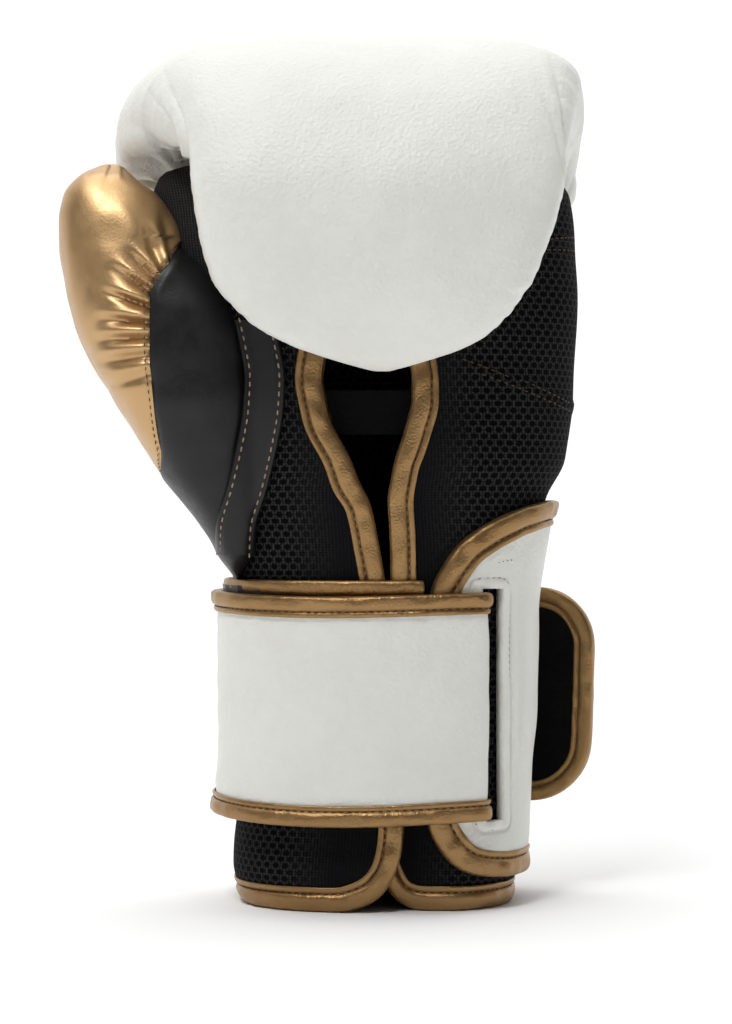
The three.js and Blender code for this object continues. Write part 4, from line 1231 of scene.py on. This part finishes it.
groove_stitches(rim_shell, left_path, -1, EDGE_WIDTH, 0.3)
groove_stitches(pushed_shell, right_path, -1, EDGE_WIDTH, 0.3)
groove_stitches(pushed_shell, palm_path, 1, EDGE_WIDTH, 0.3)
groove_stitches(strap_at, strap_path, 1, STRAP_EDGE_WIDTH, STRAP_HALF + 0.25)
groove_stitches(shell_at, loop, -1, PANEL_EDGE_WIDTH, PANEL_IN + PANEL_THICK + 0.25)
MESH_ROWS = (
    ((26.6, 181.9), (33.2, 179.6), (39.9, 177.0), (48.7, 174.3), (55.7, 171.3), (62.8, 168.4)),
    ((33.0, 177.0), (42.0, 173.8), (48.8, 171.2), (55.7, 168.5), (62.1, 166.0)),
    ((55.8, 222.8), (63.2, 224.1)),
    ((54.8, 219.1), (63.9, 219.7)),
)
# Painted shade: dark dots on the white side panel stand for the shade in its stitch holes, whose thread is
# white.
PANEL_HOLE_SHADE_DOTS = (
    ((28.3, 107.0), (30.6, 111.2), (34.4, 114.5), (36.2, 115.5), (40.0, 116.1)),
    ((26.0, 30.8), (30.0, 28.2), (33.8, 26.8)),
)


def round_shell(row):
    """A line as seen from the front, as one round the shell."""
    even = resample(row, STITCH_STEP)
    return np.stack([shell_u(even[:, 0], even[:, 1]), even[:, 1]], 1)


# Painted shade of the side panel's stitch holes, drawn as small dark stitches.
for row in PANEL_HOLE_SHADE_DOTS:
    dark_stitches_and_hole_shade.on(shell_at, round_shell(row), PANEL_IN + PANEL_THICK + 0.1, 1.7, 0.6, 0.17)
quarter = np.linspace(0, np.pi / 2, 12)
slot_seam = np.concatenate([
    np.stack([np.full(40, SLOT_SEAM - SLOT_RIM), np.linspace(42, SLOT_HIGH, 40)], 1),
    np.stack([SLOT_SEAM * np.cos(quarter) - SLOT_RIM, SLOT_HIGH + SLOT_SEAM * np.sin(quarter)], 1),
    np.stack([np.linspace(-SLOT_RIM, -7, 6), np.full(6, SLOT_HIGH + SLOT_SEAM)], 1),
])
slot_seam[:, 0] += shell_u(np.full(len(slot_seam), SLOT_EDGE), slot_seam[:, 1])
dark_stitches_and_hole_shade.on(shell_at, resample(slot_seam, STITCH_STEP), PANEL_IN + PANEL_THICK - 0.25, 2.2, 1.2, 0.18)
for row in MESH_ROWS:
    dark_stitches_and_hole_shade.on(shell_at, round_shell(row), 0.55, 2.6, 1.5, 0.2)
dark_stitches_and_hole_shade.make("dark_stitching_and_hole_shade", DARK_THREAD_AND_HOLE_SHADE, "thread")
gold_stitches.make("gold_stitching", THREAD, "thread")

for name, material in (("under_strap", BLACK), ("grip_strap", HOOK)):
    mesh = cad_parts[name].data
    mesh.materials.clear()
    mesh.materials.append(material)

bpy.data.objects.remove(cutter)

# Floor, light and camera.
floor_mesh = bpy.data.meshes.new("floor")
FLOOR_REACH, FLOOR_BACK = 3.0, 0.6
floor_corners = [
    (-FLOOR_REACH, -FLOOR_REACH), (FLOOR_REACH, -FLOOR_REACH), (FLOOR_REACH, FLOOR_BACK),
    (-FLOOR_REACH, FLOOR_BACK),
]
floor_mesh.from_pydata([(x, y, 0) for x, y in floor_corners], [], [[0, 1, 2, 3]])
floor = bpy.data.objects.new("floor", floor_mesh)
bpy.context.scene.collection.objects.link(floor)
paper = Nodes("paper")
floor_mesh.materials.append(paper.finish(Base_Color=(0.97, 0.97, 0.97, 1), Roughness=0.9))


def area_light(name, place, aim, size, power):
    data = bpy.data.lights.new(name, "AREA")
    data.shape = "RECTANGLE"
    data.size, data.size_y = size
    data.energy = power
    lamp = bpy.data.objects.new(name, data)
    bpy.context.scene.collection.objects.link(lamp)
    lamp.location = place
    direction = np.array(aim) - np.array(place)
    flat = math.hypot(direction[0], direction[1])
    lamp.rotation_euler = (
        math.atan2(flat, -direction[2]), 0, math.atan2(direction[1], direction[0]) - math.pi / 2,
    )


area_light("key", (-1.2, -1.0, 3.3), (0, 0, 0.2), (1.6, 1.6), 28)
area_light("top", (0.0, 0.5, 3.1), (0, 0, 0.2), (3.4, 2.4), 48)
area_light("left", (-2.6, -2.2, 1.4), (0, 0, 0.18), (1.8, 1.8), 3)
area_light("front", (-0.5, -1.4, 2.2), (-0.08, 0, 0.2), (0.5, 0.5), 20)

bpy.context.scene.view_settings.view_transform = "Standard"
world = bpy.data.worlds.new("studio")
bpy.context.scene.world = world
world.use_nodes = True
sky = world.node_tree
direction = sky.nodes.new("ShaderNodeSeparateXYZ")
sky.links.new(sky.nodes.new("ShaderNodeTexCoord").outputs["Generated"], direction.inputs[0])
shade = sky.nodes.new("ShaderNodeMapRange")
shade.interpolation_type = "SMOOTHSTEP"
sky.links.new(direction.outputs["Y"], shade.inputs["Value"])
for socket, value in (("From Min", -0.3), ("From Max", 0.8), ("To Min", 0.1), ("To Max", 1.1)):
    shade.inputs[socket].default_value = value
sky.nodes["Background"].inputs["Color"].default_value = (1, 1, 1, 1)
sky.links.new(shade.outputs[0], sky.nodes["Background"].inputs["Strength"])

SENSOR_HEIGHT, LENS = 36.0, 102.8
CAMERA_PLACE = [-5.5, -1000.0, 132.0]
camera_data = bpy.data.cameras.new("camera")
camera_data.sensor_fit = "VERTICAL"
camera_data.sensor_height = SENSOR_HEIGHT
camera_data.lens = LENS
camera = bpy.data.objects.new("camera", camera_data)
camera.location = ((SHIFT + CAMERA_PLACE) / 1000).tolist()
camera.rotation_euler = (math.pi / 2, 0, 0)
bpy.context.scene.collection.objects.link(camera)
bpy.context.scene.camera = camera


def plain(size):
    return [[float(value) for value in corner] for corner in size]
